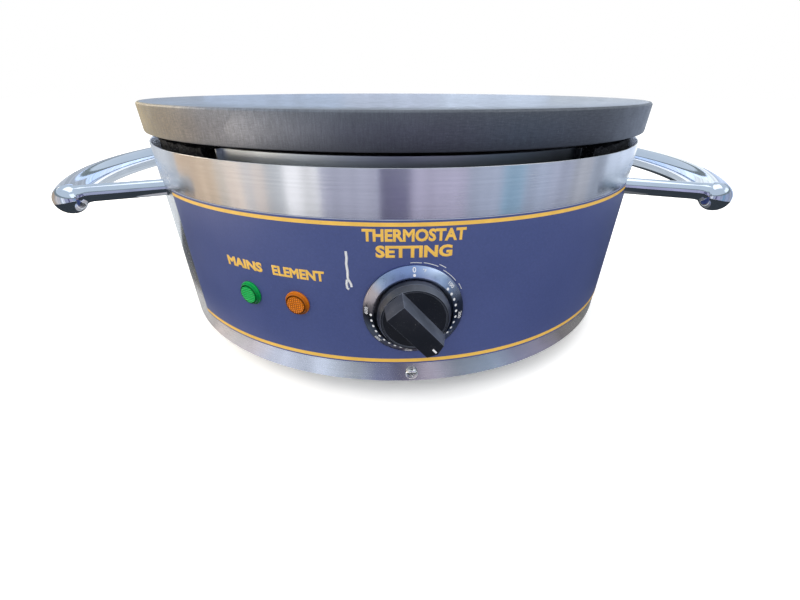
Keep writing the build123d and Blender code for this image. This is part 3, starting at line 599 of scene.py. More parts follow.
@dataclass(frozen=True)
class SeasonedIron(Finish):
    """Machined cast iron: bright-grained on the rim and smoother on the oiled top, whose colour is
    brightened as a painted reflection of the sky.

    Attributes:
        rim: Radius outside which the iron is bare.
        top_painted_reflection: Brightness of the oiled and polished top, as a share of the bare
            iron's, raised as a painted reflection of the sky.
        polish: How much smoother the top is than the rim.
        left_painted_light: Brightness of the rim's left half, as a share of its right half's,
            painted light from the left.
        left_warm_light: Colour of the rim at the far left, painted warm light from that side.
        pitch: Distance from one mark of the lathe to the next.
    """

    rim: float = 198.0 * MM
    top_painted_reflection: float = 1.55
    polish: float = 0.14
    left_painted_light: float = 2.6
    left_warm_light: Colour = (0.58, 0.45, 0.20)
    pitch: float = 0.9 * MM

    def paint(self, graph: Graph) -> None:
        """Draw the finish into a fresh graph."""
        flat = graph.node("VectorMath", Vector=graph.stretch(1, 1, 0))
        flat.operation = "LENGTH"
        radius = flat.outputs["Value"]
        bare = graph.span(radius, self.rim - 0.6 * MM, self.rim)
        rolled = graph.unrolled()
        inward = graph.times(radius, graph.calc("SUBTRACT", 1.0, bare))
        turned = graph.node("VectorMath", Vector=rolled)
        graph.feed(turned.inputs[1], graph.node("CombineXYZ", Y=inward).outputs[0])
        grain = graph.noise(2600, 4)
        across = graph.apart()["X"]
        # Painted light from the left: the rim brightens towards the left and turns warm at the far
        # left.
        edge = graph.layer(self.colour, across, 15 * MM, -75 * MM, 1, self.at(self.left_painted_light))
        edge = graph.layer(edge, across, -105 * MM, -165 * MM, 1, self.left_warm_light)
        # The top takes the iron brightened as a painted reflection of the sky; the rim keeps its
        # painted light.
        colour = graph.tint(bare, self.at(self.top_painted_reflection), edge)
        for mask, low, high, amount, share in (
            (graph.noise(22, 5), 0.40, 0.75, 0.5, 0.6),
            (graph.streaks(260, 1500, turned.outputs[0]), 0.35, 0.75, 0.6, 1.5),
            (graph.times(graph.streaks(1300, 150, rolled), bare), 0.35, 0.75, 0.4, 0.7),
            (grain, 0.35, 0.75, 0.35, 0.55),
            (graph.noise(900, 2), 0.68, 0.74, 0.4, 1.8),
        ):
            colour = graph.layer(colour, mask, low, high, amount, self.at(share))
        rough = self.patchy(graph, graph.noise(160, 4), 0.04, 0.05)
        rough = graph.plus(rough, graph.span(grain, 0.2, 0.8, -0.03, 0.03))
        rough = graph.calc("SUBTRACT", rough, graph.span(bare, 0, 1, self.polish, 0))
        lathe = graph.calc("SINE", graph.times(radius, 2 * pi / self.pitch))
        normal = graph.bump(grain, 0.03 * MM, 0.5, graph.bump(lathe, 0.002 * MM, 0.3))
        graph.shade(Base_Color=colour, Roughness=rough, Normal=normal, Metallic=1.0)


@dataclass(frozen=True)
class BrushedSteel(Finish):
    """Stainless sheet with its grain round the body, which draws reflections out upright.

    Attributes:
        drawn: How strongly reflections are drawn out.
        stained: How much brown heat tint lies in patches.
        end_shade: How much painted shade darkens the sheet at its ends, most of all at the right.
    """

    drawn: float = 0.7
    stained: float = 0.0
    end_shade: float = 0.0

    def paint(self, graph: Graph) -> None:
        """Draw the finish into a fresh graph."""
        rolled = graph.unrolled()
        fine = graph.streaks(60, 5200, rolled)
        blotch = graph.noise(26, 4)
        colour = graph.layer(self.at(0.90), fine, 0.3, 0.7, 1, self.colour)
        coarse, rub = graph.streaks(14, 900, rolled, 2), graph.streaks(240, 700, rolled, 4)
        colour = graph.layer(colour, coarse, 0.35, 0.7, 0.4, self.at(1.08))
        colour = graph.layer(colour, rub, 0.68, 0.76, 0.35, self.at(1.35))
        if self.stained:
            red, green, blue = self.colour
            brown = (red * 0.9, green * 0.72, blue * 0.5)
            colour = graph.layer(colour, blotch, 0.45, 0.75, self.stained, brown)
        # Painted shade: the sheet darkens towards its ends, most of all towards the right.
        if self.end_shade:
            across = graph.apart()["X"]
            right = graph.span(across, -85 * MM, 80 * MM, 0, self.end_shade)
            left = graph.span(across, -100 * MM, -125 * MM, 0, self.end_shade * 0.8)
            colour = graph.tint(graph.calc("MAXIMUM", right, left), colour, self.at(0.08))
        rough = self.patchy(graph, blotch, 0.04, 0.05)
        rough = graph.plus(rough, graph.span(fine, 0.2, 0.8, -0.05, 0.05))
        normal = graph.bump(fine, 0.007 * MM, 0.4)
        tangent = graph.node("Tangent")
        tangent.direction_type, tangent.axis = "RADIAL", "Z"
        graph.shade(Base_Color=colour, Roughness=rough, Normal=normal, Metallic=1.0)
        graph.shade(Anisotropic=self.drawn, Anisotropic_Rotation=0.25, Tangent=tangent.outputs[0])


@dataclass(frozen=True)
class PlainMetal(Finish):
    """Zinc, chrome, brass, copper or aluminised sheet: clouded, lightly scratched.

    Attributes:
        clouds: Size of its cloudy variation, as a noise scale.
        uneven: How far its surface waves, in millimetres.
        spread: How far the colour varies, as a share.
    """

    clouds: float = 90.0
    uneven: float = 0.01
    spread: float = 0.12

    def paint(self, graph: Graph) -> None:
        """Draw the finish into a fresh graph."""
        cloud = graph.noise(self.clouds, 5)
        scratch = graph.noise(1.0, 3, graph.stretch(900, 160, 3000))
        colour = graph.layer(self.at(1 - self.spread), cloud, 0.35, 0.68, 1, self.colour)
        colour = graph.layer(colour, graph.noise(1400, 2), 0.64, 0.74, 0.3, self.at(0.55))
        rough = graph.span(cloud, 0.3, 0.7, self.rough * 0.8, self.rough * 1.3)
        rough = graph.plus(rough, graph.span(scratch, 0.66, 0.72, 0, 0.12))
        waves = graph.bump(graph.noise(70, 2), self.uneven * 10 * MM, 0.25)
        normal = graph.bump(graph.noise(1800, 3), self.uneven * MM, 0.3, waves)
        graph.shade(Base_Color=colour, Roughness=rough, Normal=normal, Metallic=1.0)


@dataclass(frozen=True)
class ReflectionFanMetal(PlainMetal):
    """Plain metal with pale and dark fans painted round the dial's centre, a painted reflection of
    the surroundings.

    Attributes:
        height: Height of the dial's centre.
        reflection_fans: Tones of the painted reflection at angles from the bottom, clockwise, as
            shares of a turn.
    """

    height: float = DIAL_HEIGHT
    reflection_fans: Stops = (
        (0.00, (0.15, 0.15, 0.16)),
        (0.20, (0.09, 0.10, 0.11)),
        (0.245, (0.10, 0.10, 0.11)),
        (0.28, (0.80, 0.68, 0.62)),
        (0.34, (0.68, 0.58, 0.50)),
        (0.38, (0.52, 0.62, 0.70)),
        (0.45, (0.42, 0.50, 0.70)),
        (0.50, (0.45, 0.55, 0.76)),
        (0.55, (0.85, 0.92, 1.00)),
        (0.60, (0.90, 0.98, 1.00)),
        (0.63, (0.62, 0.66, 0.68)),
        (0.67, (0.33, 0.35, 0.35)),
        (0.71, (0.16, 0.19, 0.26)),
        (0.80, (0.06, 0.08, 0.12)),
        (1.00, (0.15, 0.15, 0.16)),
    )

    def paint(self, graph: Graph) -> None:
        """Draw the finish into a fresh graph."""
        super().paint(graph)
        apart = graph.apart()
        up = graph.calc("SUBTRACT", apart["Z"], self.height)
        plain = graph.tree.nodes["Principled BSDF"].inputs["Base Color"].links[0].from_socket
        # Painted reflection: the plain colour is multiplied by the fans of tones round the dial's
        # centre.
        fan_reflection = graph.node("Mix")
        fan_reflection.data_type, fan_reflection.blend_type = "RGBA", "MULTIPLY"
        graph.feed(fan_reflection.inputs[0], 1.0)
        graph.feed(fan_reflection.inputs[6], plain)
        graph.feed(fan_reflection.inputs[7], graph.ramp(graph.round_share(apart["X"], up), self.reflection_fans))
        graph.shade(Base_Color=fan_reflection.outputs[2])


@dataclass(frozen=True)
class PrintedFilm(Finish):
    """Navy polyester film, semi-gloss: fine orange peel, rubbed specks and small dents.

    Attributes:
        grey: Colour of the rubbed specks.
    """

    grey: Colour = (0.35, 0.38, 0.45)

    def paint(self, graph: Graph) -> None:
        """Draw the finish into a fresh graph."""
        peel, cloud = graph.noise(700, 3), graph.noise(18, 4)
        dust = graph.span(graph.noise(1900, 2), 0.67, 0.75)
        dents = graph.span(graph.noise(240, 2), 0.70, 0.80)
        colour = graph.layer(self.at(0.9), cloud, 0.35, 0.7, 1, self.colour)
        colour = graph.layer(colour, peel, 0.3, 0.75, 0.35, self.at(1.25))
        colour = graph.tint(graph.times(dust, 0.16), colour, self.grey)
        rough = graph.plus(self.patchy(graph, cloud, 0.05, 0.05), graph.times(dust, 0.15))
        marks = graph.calc("SUBTRACT", peel, graph.times(dents, 3.0))
        ripple = graph.streaks(60, 26, graph.unrolled())
        normal = graph.bump(ripple, 0.35 * MM, 0.12, graph.bump(marks, 0.03 * MM, 0.35))
        graph.shade(Base_Color=colour, Roughness=rough, Normal=normal, Specular_IOR_Level=0.5)


@dataclass(frozen=True)
class Ink(Finish):
    """Screen-printed ink with pinholes and a slightly uneven edge of wear."""

    def paint(self, graph: Graph) -> None:
        """Draw the finish into a fresh graph."""
        cloud = graph.noise(120, 4)
        colour = graph.layer(self.at(0.88), cloud, 0.3, 0.7, 1, self.colour)
        colour = graph.layer(colour, graph.noise(1600, 4), 0.62, 0.72, 0.45, self.at(0.6))
        rough = self.patchy(graph, graph.noise(900, 3), 0.07, 0.07)
        graph.shade(Base_Color=colour, Roughness=rough, Normal=graph.bump(cloud, 0.01 * MM, 0.3))


@dataclass(frozen=True)
class Moulding(Finish):
    """Moulded plastic or rubber: a fine eroded texture, greasy patches and rubbed specks.

    Attributes:
        texture: Depth of the moulded texture, in millimetres.
        rubbed: How strongly the rubbed specks show.
        dust: How much dust, mixed with painted sky sheen, lies on the faces that look up or up to
            the right.
        speck: Colour of the rubbed specks.
        dust_and_sheen_colour: Bluish colour of the dust and the painted sky sheen.
    """

    texture: float = 0.02
    rubbed: float = 0.25
    dust: float = 0.0
    speck: Colour = (0.42, 0.42, 0.42)
    dust_and_sheen_colour: Colour = (0.30, 0.35, 0.46)

    def paint(self, graph: Graph) -> None:
        """Draw the finish into a fresh graph."""
        pebble, grease = graph.noise(2200, 3), graph.noise(60, 4)
        specks = graph.span(graph.noise(1500, 3), 0.63, 0.73)
        patches = graph.span(graph.noise(130, 3), 0.45, 0.7)
        rubbed = graph.times(graph.times(specks, patches), self.rubbed)
        colour = graph.layer(self.at(0.8), grease, 0.3, 0.7, 1, self.colour)
        colour = graph.layer(colour, pebble, 0.3, 0.8, 0.4, self.at(1.5))
        colour = graph.tint(rubbed, colour, self.speck)
        if self.dust:
            # Dust together with painted sky sheen on the faces that look up or up to the right.
            dust_and_sheen_share = graph.times(self.upward(graph), graph.span(patches, 0, 1, 0.75, 1.1))
            colour = graph.tint(dust_and_sheen_share, colour, self.dust_and_sheen_colour)
        rough = graph.plus(self.patchy(graph, grease, 0.07, 0.07), graph.times(rubbed, 0.3))
        normal = graph.bump(pebble, self.texture * MM, 0.6)
        graph.shade(Base_Color=colour, Roughness=rough, Normal=normal)

    def upward(self, graph: Graph) -> Socket:
        """How much dust and painted sky sheen a face catches: more the more it looks up, or up to
        the right.
        """
        faces = graph.apart(graph.node("TexCoord").outputs["Normal"])
        aslant = graph.plus(graph.times(faces["X"], 0.6), graph.times(faces["Z"], 0.8))
        up = graph.span(faces["Z"], 0.15, 0.75, 0, self.dust * 0.75)
        return graph.plus(up, graph.span(aslant, 0.6, 0.98, 0, self.dust * 1.6))


@dataclass(frozen=True)
class LampLens(Finish):
    """Clear coloured plastic, with a painted highlight over each facet, painted shade in the
    grooves and round the field, and a flange painted darker below and lighter at the top.

    Attributes:
        azimuth: Where the lens stands on the front.
        rows: Whether the facets are prisms that run across the lens.
        height: Height of its centre.
        pitch: Distance from facet to facet.
        seat: Radius of the film that it stands on.
    """

    azimuth: float = 0.0
    rows: bool = False
    height: float = LAMP_HEIGHT
    pitch: float = 1.333 * MM
    seat: float = 199.3 * MM

    def paint(self, graph: Graph) -> None:
        """Draw the finish into a fresh graph."""
        apart = graph.apart(graph.unrolled(self.seat))
        across = graph.calc("SUBTRACT", apart["X"], radians(self.azimuth) * self.seat)
        up = graph.calc("SUBTRACT", apart["Y"], self.height)
        out = graph.calc("SQRT", graph.plus(graph.times(across, across), graph.times(up, up)))
        turns = 2 * pi / self.pitch
        waves = [graph.calc("COSINE", graph.times(way, turns)) for way in (across, up)]
        ridges = waves[1] if self.rows else graph.calc("MINIMUM", *waves)
        facets = graph.span(ridges, -0.9, 0.5)
        depth = graph.span(graph.noise(420, 3), 0.3, 0.7, 0.7, 1.0)
        # Painted highlight over each facet and painted shade in its grooves.
        colour = graph.tint(graph.times(facets, depth), self.at(0.40), self.at(1.15))
        # Painted shade on the ring between the field of facets and the flange.
        colour = graph.layer(colour, out, 5.3 * MM, 5.6 * MM, 1, self.at(0.14))
        # Flange with painted light: dark below, lighter towards the top.
        rim = graph.layer(self.at(0.20), up, -6 * MM, 7 * MM, 1, self.at(0.75))
        colour = graph.layer(colour, out, 6.2 * MM, 6.6 * MM, 1, rim)
        rough = graph.span(graph.noise(900, 3), 0.3, 0.7, self.rough * 0.7, self.rough * 1.5)
        graph.shade(Base_Color=colour, Roughness=rough, Normal=graph.bump(depth, 0.02 * MM, 0.25))
        graph.shade(Specular_IOR_Level=0.22, Coat_Weight=0.12, Coat_Roughness=0.05)
        # The faint glow takes the same colour, its painted highlights and shade included.
        graph.shade(Emission_Color=colour, Emission_Strength=0.12)


@dataclass(frozen=True)
class MineralWool(Finish):
    """Matted rock wool, coloured nearly black, with pale shot and fibres caught in it.

    Attributes:
        fibre: Colour of the pale fibres.
    """

    fibre: Colour = (0.30, 0.31, 0.34)

    def paint(self, graph: Graph) -> None:
        """Draw the finish into a fresh graph."""
        mat = graph.noise(520, 6)
        strands = graph.noise(1.0, 4, graph.stretch(2600, 300, 900))
        colour = graph.layer(self.at(0.3), graph.noise(60, 4), 0.35, 0.65, 1, self.colour)
        colour = graph.layer(self.at(0.15), mat, 0.3, 0.7, 0.6, colour)
        colour = graph.layer(colour, strands, 0.62, 0.70, 0.6, self.fibre)
        normal = graph.bump(strands, 0.5 * MM, 0.7, graph.bump(mat, 1.2 * MM, 0.9))
        rough = self.patchy(graph, mat, 0.05, 0.05)
        graph.shade(Base_Color=colour, Roughness=rough, Normal=normal)


@dataclass(frozen=True)
class WovenSleeve(Finish):
    """Glass braid over a wire, in small crossed bundles."""

    def paint(self, graph: Graph) -> None:
        """Draw the finish into a fresh graph."""
        weave = graph.node("TexChecker", Vector=graph.place, Scale=1600).outputs["Fac"]
        soil = graph.noise(90, 4)
        colour = graph.tint(graph.times(weave, 0.5), self.colour, self.at(0.7))
        colour = graph.layer(colour, soil, 0.4, 0.75, 0.5, self.at(0.5))
        rough = self.patchy(graph, soil, 0.05, 0.05)
        graph.shade(Base_Color=colour, Roughness=rough, Normal=graph.bump(weave, 0.08 * MM, 0.6))


YELLOW_INK = Ink("yellow_ink", (0.90, 0.54, 0.085), 0.42)
WHITE_INK = Ink("white_ink", (0.78, 0.80, 0.84), 0.45)
FILM_EDGE = Ink("film_edge", (0.42, 0.46, 0.56), 0.30)
# Lighter finish of the knob's rounded edges: rubbed wear together with a painted edge highlight.
WORN_AND_HIGHLIT_EDGE = Moulding("worn_edge", (0.10, 0.115, 0.15), 0.38, 0.02, 0.6, 0.3)
SCREW_HEAD = PlainMetal("screw_head", (0.86, 0.85, 0.80), 0.20, 300, 0.02, 0.15)
SEAM_WELD = PlainMetal("seam_weld", (0.42, 0.38, 0.33), 0.36, 400, 0.05, 0.3)

FINISHES: dict[str, Finish] = {
    finish.name: finish
    for finish in (
        SeasonedIron("plate_iron", (0.135, 0.14, 0.155), 0.46),
        PlainMetal("steel_zinc", (0.60, 0.60, 0.58), 0.34, 300, 0.02),
        PlainMetal("element_steel", (0.24, 0.21, 0.19), 0.48, 60, 0.03, 0.35),
        PlainMetal("inner_sheet", (0.55, 0.56, 0.56), 0.38, 260, 0.01, 0.2),
        MineralWool("mineral_wool", (0.012, 0.014, 0.020), 0.95),
        Moulding("bush_ceramic", (0.74, 0.71, 0.63), 0.62, 0.03, 0.0),
        BrushedSteel("body_steel", (0.72, 0.715, 0.72), 0.21, 0.85),
        BrushedSteel("shield_steel", (0.86, 0.92, 0.96), 0.42, 0.4, 0.12, 0.93),
        PrintedFilm("control_film", (0.056, 0.080, 0.235), 0.36),
        Moulding("foot_rubber", (0.022, 0.022, 0.023), 0.66, 0.05, 0.1),
        PlainMetal("handle_chrome", (0.55, 0.60, 0.68), 0.055, 45, 0.004, 0.05),
        ReflectionFanMetal("bezel_black", (0.60, 0.645, 0.78), 0.30, 300, 0.01, 0.08),
        Moulding("knob_black", (0.007, 0.009, 0.016), 0.36, 0.015, 0.4, 0.16),
        PlainMetal("copper_tube", (0.72, 0.38, 0.24), 0.30, 120, 0.01, 0.25),
        LampLens("lens_green", (0.001, 0.42, 0.085), 0.16, GREEN_AT, rows=True),
        LampLens("lens_amber", (0.72, 0.20, 0.008), 0.16, AMBER_AT),
        Moulding("moulding_black", (0.020, 0.020, 0.021), 0.48, 0.02, 0.2),
        Moulding("block_white", (0.62, 0.60, 0.54), 0.50, 0.02, 0.0),
        PlainMetal("terminal_brass", (0.70, 0.53, 0.22), 0.30, 200, 0.01, 0.15),
        WovenSleeve("wire_sleeve", (0.55, 0.50, 0.40), 0.85),
    )
} | {"pointer_white": WHITE_INK}


def dress(
    piece: Piece,
    slot: str,
    nodes: Sequence[str] = (),
    finish: Finish | None = None,
    body: Body = Body.HOUSING,
) -> Piece:
    """Give a new piece its finish, its body and the nodes that it stands for.

    Args:
        piece: The finished mesh, in its place.
        slot: Material slot of the record.
        nodes: Nodes that it stands for.
        finish: A finish of its own, where it isn't the slot's.
        body: The rigid body that it rides on.

    Returns:
        The same piece.
    """
    materials = piece.data.materials
    chosen = (finish or FINISHES[slot]).material()
    if len(materials):
        materials[0] = chosen
    else:
        materials.append(chosen)
    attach(piece, body.value)
    if nodes:
        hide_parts(*nodes)
    return piece


def middle(node: str) -> float:
    """Height of the middle of a node."""
    low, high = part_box(node)
    return (low.z + high.z) / 2


def shell_side() -> float:
    """Radius of the shell's outer face."""
    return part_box("body_shell")[1].x


# ---------------------------------------------------------------- sub-assemblies


@dataclass
class GriddlePlate:
    """Cast plate with a tapered rim, a small chamfer and three stud bosses below.

    Attributes:
        radius: Radius at the top of the rim.
        thickness: Thickness at the rim.
        draft: How much smaller the rim is at its foot.
        chamfer: Width of the rim's chamfer.
        boss: Radius of a boss.
        boss_circle: Radius of the circle that the bosses stand on.
        boss_angles: Where they stand on it, in degrees from +X.
    """

    radius: float = 200 * MM
    thickness: float = 17.7 * MM
    draft: float = 0.2 * MM
    chamfer: float = 1.0 * MM
    boss: float = 11 * MM
    boss_circle: float = 120 * MM
    boss_angles: tuple[float, ...] = (90, 210, 330)

    def build(self) -> Iterator[Piece]:
        """Make the plate."""
        low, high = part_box("griddle_plate")
        top, under = high.z, high.z - self.thickness
        profile = (
            rings(0, under, (60, 0), (150, 0))
            + rings(self.radius - self.draft, under, (-0.7, 0), (-0.2, 0.2), (0, 0.7))
            + rings(self.radius, top - self.chamfer, (0, -0.2), (-0.12, 0.1))
            + rings(self.radius - self.chamfer, top, (0.1, -0.1), (-0.3, 0))
            + rings(0, top, (170, 0), (110, 0), (40, 0))
        )
        plate = turn("griddle_plate_turned", profile, 288)
        for angle in self.boss_angles:
            x, y = self.boss_circle * cos(radians(angle)), self.boss_circle * sin(radians(angle))
            profile = rings(self.boss, low.z, (-0.8, 0), (0, 0.8)) + rings(self.boss, under, (0, 1))
            boss = settle(turn("boss", profile, 48), Matrix.Translation((x, y, 0)))
            combine(plate, boss, Combine.UNION)
        yield dress(smooth(plate, 24), "plate_iron", ["griddle_plate"])


@dataclass
class BodyShell:
    """Rolled steel shell with rounded raw edges and a welded seam at the back.

    Attributes:
        wall: Thickness of the sheet.
        seam: Azimuth of the seam.
        bead: Radius of the weld bead.
    """

    wall: float = 1.0 * MM
    seam: float = 158.0
    bead: float = 1.1 * MM

    def build(self) -> Iterator[Piece]:
        """Make the shell and its seam."""
        low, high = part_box("body_shell")
        outer, height = high.x, high.z - low.z
        profile = [(outer, z) for z in (low.z, low.z + height * 0.35, low.z + height * 0.7, high.z)]
        profile += [(outer - self.wall, z) for z in (high.z, low.z)]
        shell = soften(turn("body_shell_rolled", profile, 288, hollow=True), 0.32 * MM, 3)
        yield dress(shell, "body_steel", ["body_shell"])
        slim = self.bead * 0.4
        profile = rings(slim, low.z, (0, 2)) + rings(self.bead, low.z, (0, 3))
        profile += rings(self.bead, high.z, (0, -3)) + rings(slim, high.z, (0, -2))
        weld = turn("shell_seam_weld", profile, 20)
        settle(weld, Matrix.Translation(facing(self.seam, outer - self.bead * 0.72, 0).translation))
        yield dress(smooth(weld), "body_steel", finish=SEAM_WELD)


@dataclass
class ControlFilm:
    """Printed film on the front of the shell, with two ruled lines and plain words.

    Attributes:
        span: Azimuths of its ends.
        thickness: Thickness of the film.
        edge: Height of the bare edge of its laminate.
        upper_line: Distances from the top edge to the top and bottom of the upper line.
        lower_line: The same, from the bottom edge, for the lower line.
        lamp_words: Height of the words over the lamps.
        dial_words: Height of the words over the dial.
        ink: How far a print's middle lies off the film.
        forked: Lines of the long scratch, as distances from the dial's axis and heights.
        scuffs: Arcs of the scuffs over the dial, as two angles and a radius.
    """

    span: Ring = (-49.3, 66.0)
    thickness: float = 0.4 * MM
    edge: float = 0.35 * MM
    upper_line: Ring = (1.5 * MM, 3.6 * MM)
    lower_line: Ring = (1.0 * MM, 3.6 * MM)
    lamp_words: float = 6.3 * MM
    dial_words: float = 7.0 * MM
    ink: float = 0.03 * MM
    forked: tuple[tuple[Ring, ...], ...] = (
        ((-36.4, 109.8), (-36.2, 106), (-36.6, 102.5), (-36.2, 98), (-36.4, 94.5), (-36.1, 92.6)),
        ((-36.9, 92.9), (-37.3, 90.2), (-37.0, 87.6), (-36.2, 86.8)),
        ((-36.0, 92.8), (-34.9, 90.6), (-34.5, 88.4)),
    )
    scuffs: tuple[tuple[int, int, float], ...] = (
        (-4, 10, 30.0), (10, 30, 30.3), (26, 36, 31.6), (33, 56, 29.7), (58, 68, 30.2),
    )

    def build(self) -> Iterator[Piece]:
        """Make the film and its print."""
        low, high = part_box("control_overlay")
        radius = shell_side() + self.thickness
        rise = (low.z, high.z)
        film = band("control_film_sheet", radius, self.thickness - 0.02 * MM, self.span, rise)
        yield dress(film, "control_film", ["control_overlay"])
        upper, lower = self.upper_line, self.lower_line
        for name, rise, ink in (
            ("film_top_edge", (high.z - self.edge, high.z), FILM_EDGE),
            ("film_upper_line", (high.z - upper[1], high.z - upper[0]), YELLOW_INK),
            ("film_lower_line", (low.z + lower[0], low.z + lower[1]), YELLOW_INK),
        ):
            line = band(name, radius + 0.05 * MM, PRINT, self.span, rise)
            yield dress(line, "control_film", finish=ink)
        yield from self.words(radius + self.ink, high.z)
        yield from self.wear(radius + self.ink)

    def words(self, radius: float, top: float) -> Iterator[Piece]:
        """Print the plain words over the dial and the lamps.

        Args:
            radius: Radius of the print.
            top: Height of the film's top edge.
        """
        for words, azimuth, width, height, below, weight in (
            ("THERMOSTAT", 0.0, 54.6, self.dial_words, 8.3, 0.042),
            ("SETTING", 0.0, 41.0, self.dial_words, 17.3, 0.045),
            ("MAINS", -29.9, 28.0, self.lamp_words, 33.8, 0.055),
            ("ELEMENT", -19.1, 33.0, self.lamp_words, 33.8, 0.045),
        ):
            piece = lettering(f"print_{words.lower()}", words, width * MM, height, weight)
            wrap(piece, azimuth, radius, top - below * MM)
            yield dress(piece, "control_film", finish=YELLOW_INK)

    def wear(self, radius: float) -> Iterator[Piece]:
        """Scratch the film: one long forked mark, and scuffs over the dial."""
        scuffed = []
        for start, end, reach in self.scuffs:
            arc = [radians(angle) for angle in range(start, end, 4)]
            scuffed.append([(reach * sin(a), DIAL_HEIGHT / MM + reach * cos(a)) for a in arc])
        for name, lines, width in (
            ("film_scratch", self.forked, 1.5 * MM),
            ("film_scuffs", scuffed, 0.45 * MM),
        ):
            piece = wrap(strokes(name, lines, width), 0, radius, 0)
            yield dress(piece, "control_film", finish=WHITE_INK)


@dataclass
class DialBezel:
    """Conical ring round the knob, with the thermostat's scale printed on it.

    Attributes:
        radius: Outer radius.
        lip: Radius at the top of the cone.
        well: Radius of the sunk floor.
        bore: Radius of the hole for the spindle's bush.
        back: Distance of the ring's back from the body's axis.
        rim: Distance of the cone's outer edge.
        front: Distance of the lip.
        floor: Distance of the sunk floor.
        dots: First angle of the scale's dots, their step and their number.
        numbers: The scale's numbers and their angles, clockwise from the top.
    """

    radius: float = 28.8 * MM
    lip: float = 23.4 * MM
    well: float = 22.6 * MM
    bore: float = 5.6 * MM
    back: float = 196.8 * MM
    rim: float = 200.3 * MM
    front: float = 203.6 * MM
    floor: float = 200.7 * MM
    dots: tuple[float, float, int] = (50, 9.2, 25)
    numbers: tuple[tuple[str, float], ...] = (
        ("100", 50), ("200", 95), ("300", 140), ("400", 185), ("500", 230), ("600", 275),
    )

    def build(self) -> Iterator[Piece]:
        """Make the ring and its scale."""
        low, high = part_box("dial_bezel")
        self.centre = middle("dial_bezel")
        profile = [(self.radius, self.back), *rings(self.radius, self.rim, (0, -0.2), (-0.4, 0.25))]
        profile += [(self.lip, self.front), (self.well, self.front), (self.well, self.floor)]
        profile += [(self.bore, self.floor), (self.bore, self.back)]
        ring = turn("dial_bezel_ring", profile, 144, hollow=True)
        settle(ring, facing(0, 0, self.centre))
        combine(ring, core(shell_side() + 0.42 * MM, low.z, high.z, 360), Combine.DIFFERENCE)
        yield dress(soften(ring, 0.22 * MM, 3), "bezel_black", ["dial_bezel"])
        first, step, count = self.dots
        marks = [self.dot(first + index * step, 24.2 * MM) for index in range(count)]
        marks.append(self.dot(0, 24.3 * MM))
        yield self.print_marks("dial_dots", marks)
        figures = [self.figure("0", 0, 3.0 * MM), self.figure("°F", 12, 1.9 * MM)]
        figures += [self.figure(number, angle, 2.3 * MM) for number, angle in self.numbers]
        yield self.print_marks("dial_numbers", figures)

    def on_cone(self, angle: float, radius: float) -> Matrix:
        """Place on the cone, its Y running outwards and its Z off the surface.

        Args:
            angle: Degrees clockwise from the top, seen from the front.
            radius: Distance from the knob's axis.

        Returns:
            The place.
        """
        slope = (self.front - self.rim) / (self.radius - self.lip)
        a = radians(angle)
        depth = self.rim + (self.radius - radius) * slope
        along = Vector((cos(a), 0, -sin(a)))
        outward = Vector((sin(a), slope, cos(a))).normalized()
        off = along.cross(outward)
        point = Vector((radius * sin(a), -depth, self.centre + radius * cos(a))) + off * 0.03 * MM
        return Matrix((*zip(along, outward, off, point), (0, 0, 0, 1)))

    def dot(self, angle: float, radius: float) -> Piece:
        """Make one dot of the scale."""
        dot = turn("dot", rings(0.8 * MM, 0, (0, -0.02), (0, 0.02)), 14)
        return settle(dot, self.on_cone(angle, radius))

    def figure(self, text: str, angle: float, height: float) -> Piece:
        """Make one number of the scale, near the cone's outer edge."""
        return settle(lettering("figure", text, 0, height, 0.015), self.on_cone(angle, 26.9 * MM))

    def print_marks(self, name: str, marks: list[Piece]) -> Piece:
        """Join marks into one printed piece."""
        return dress(join(name, marks), "pointer_white")


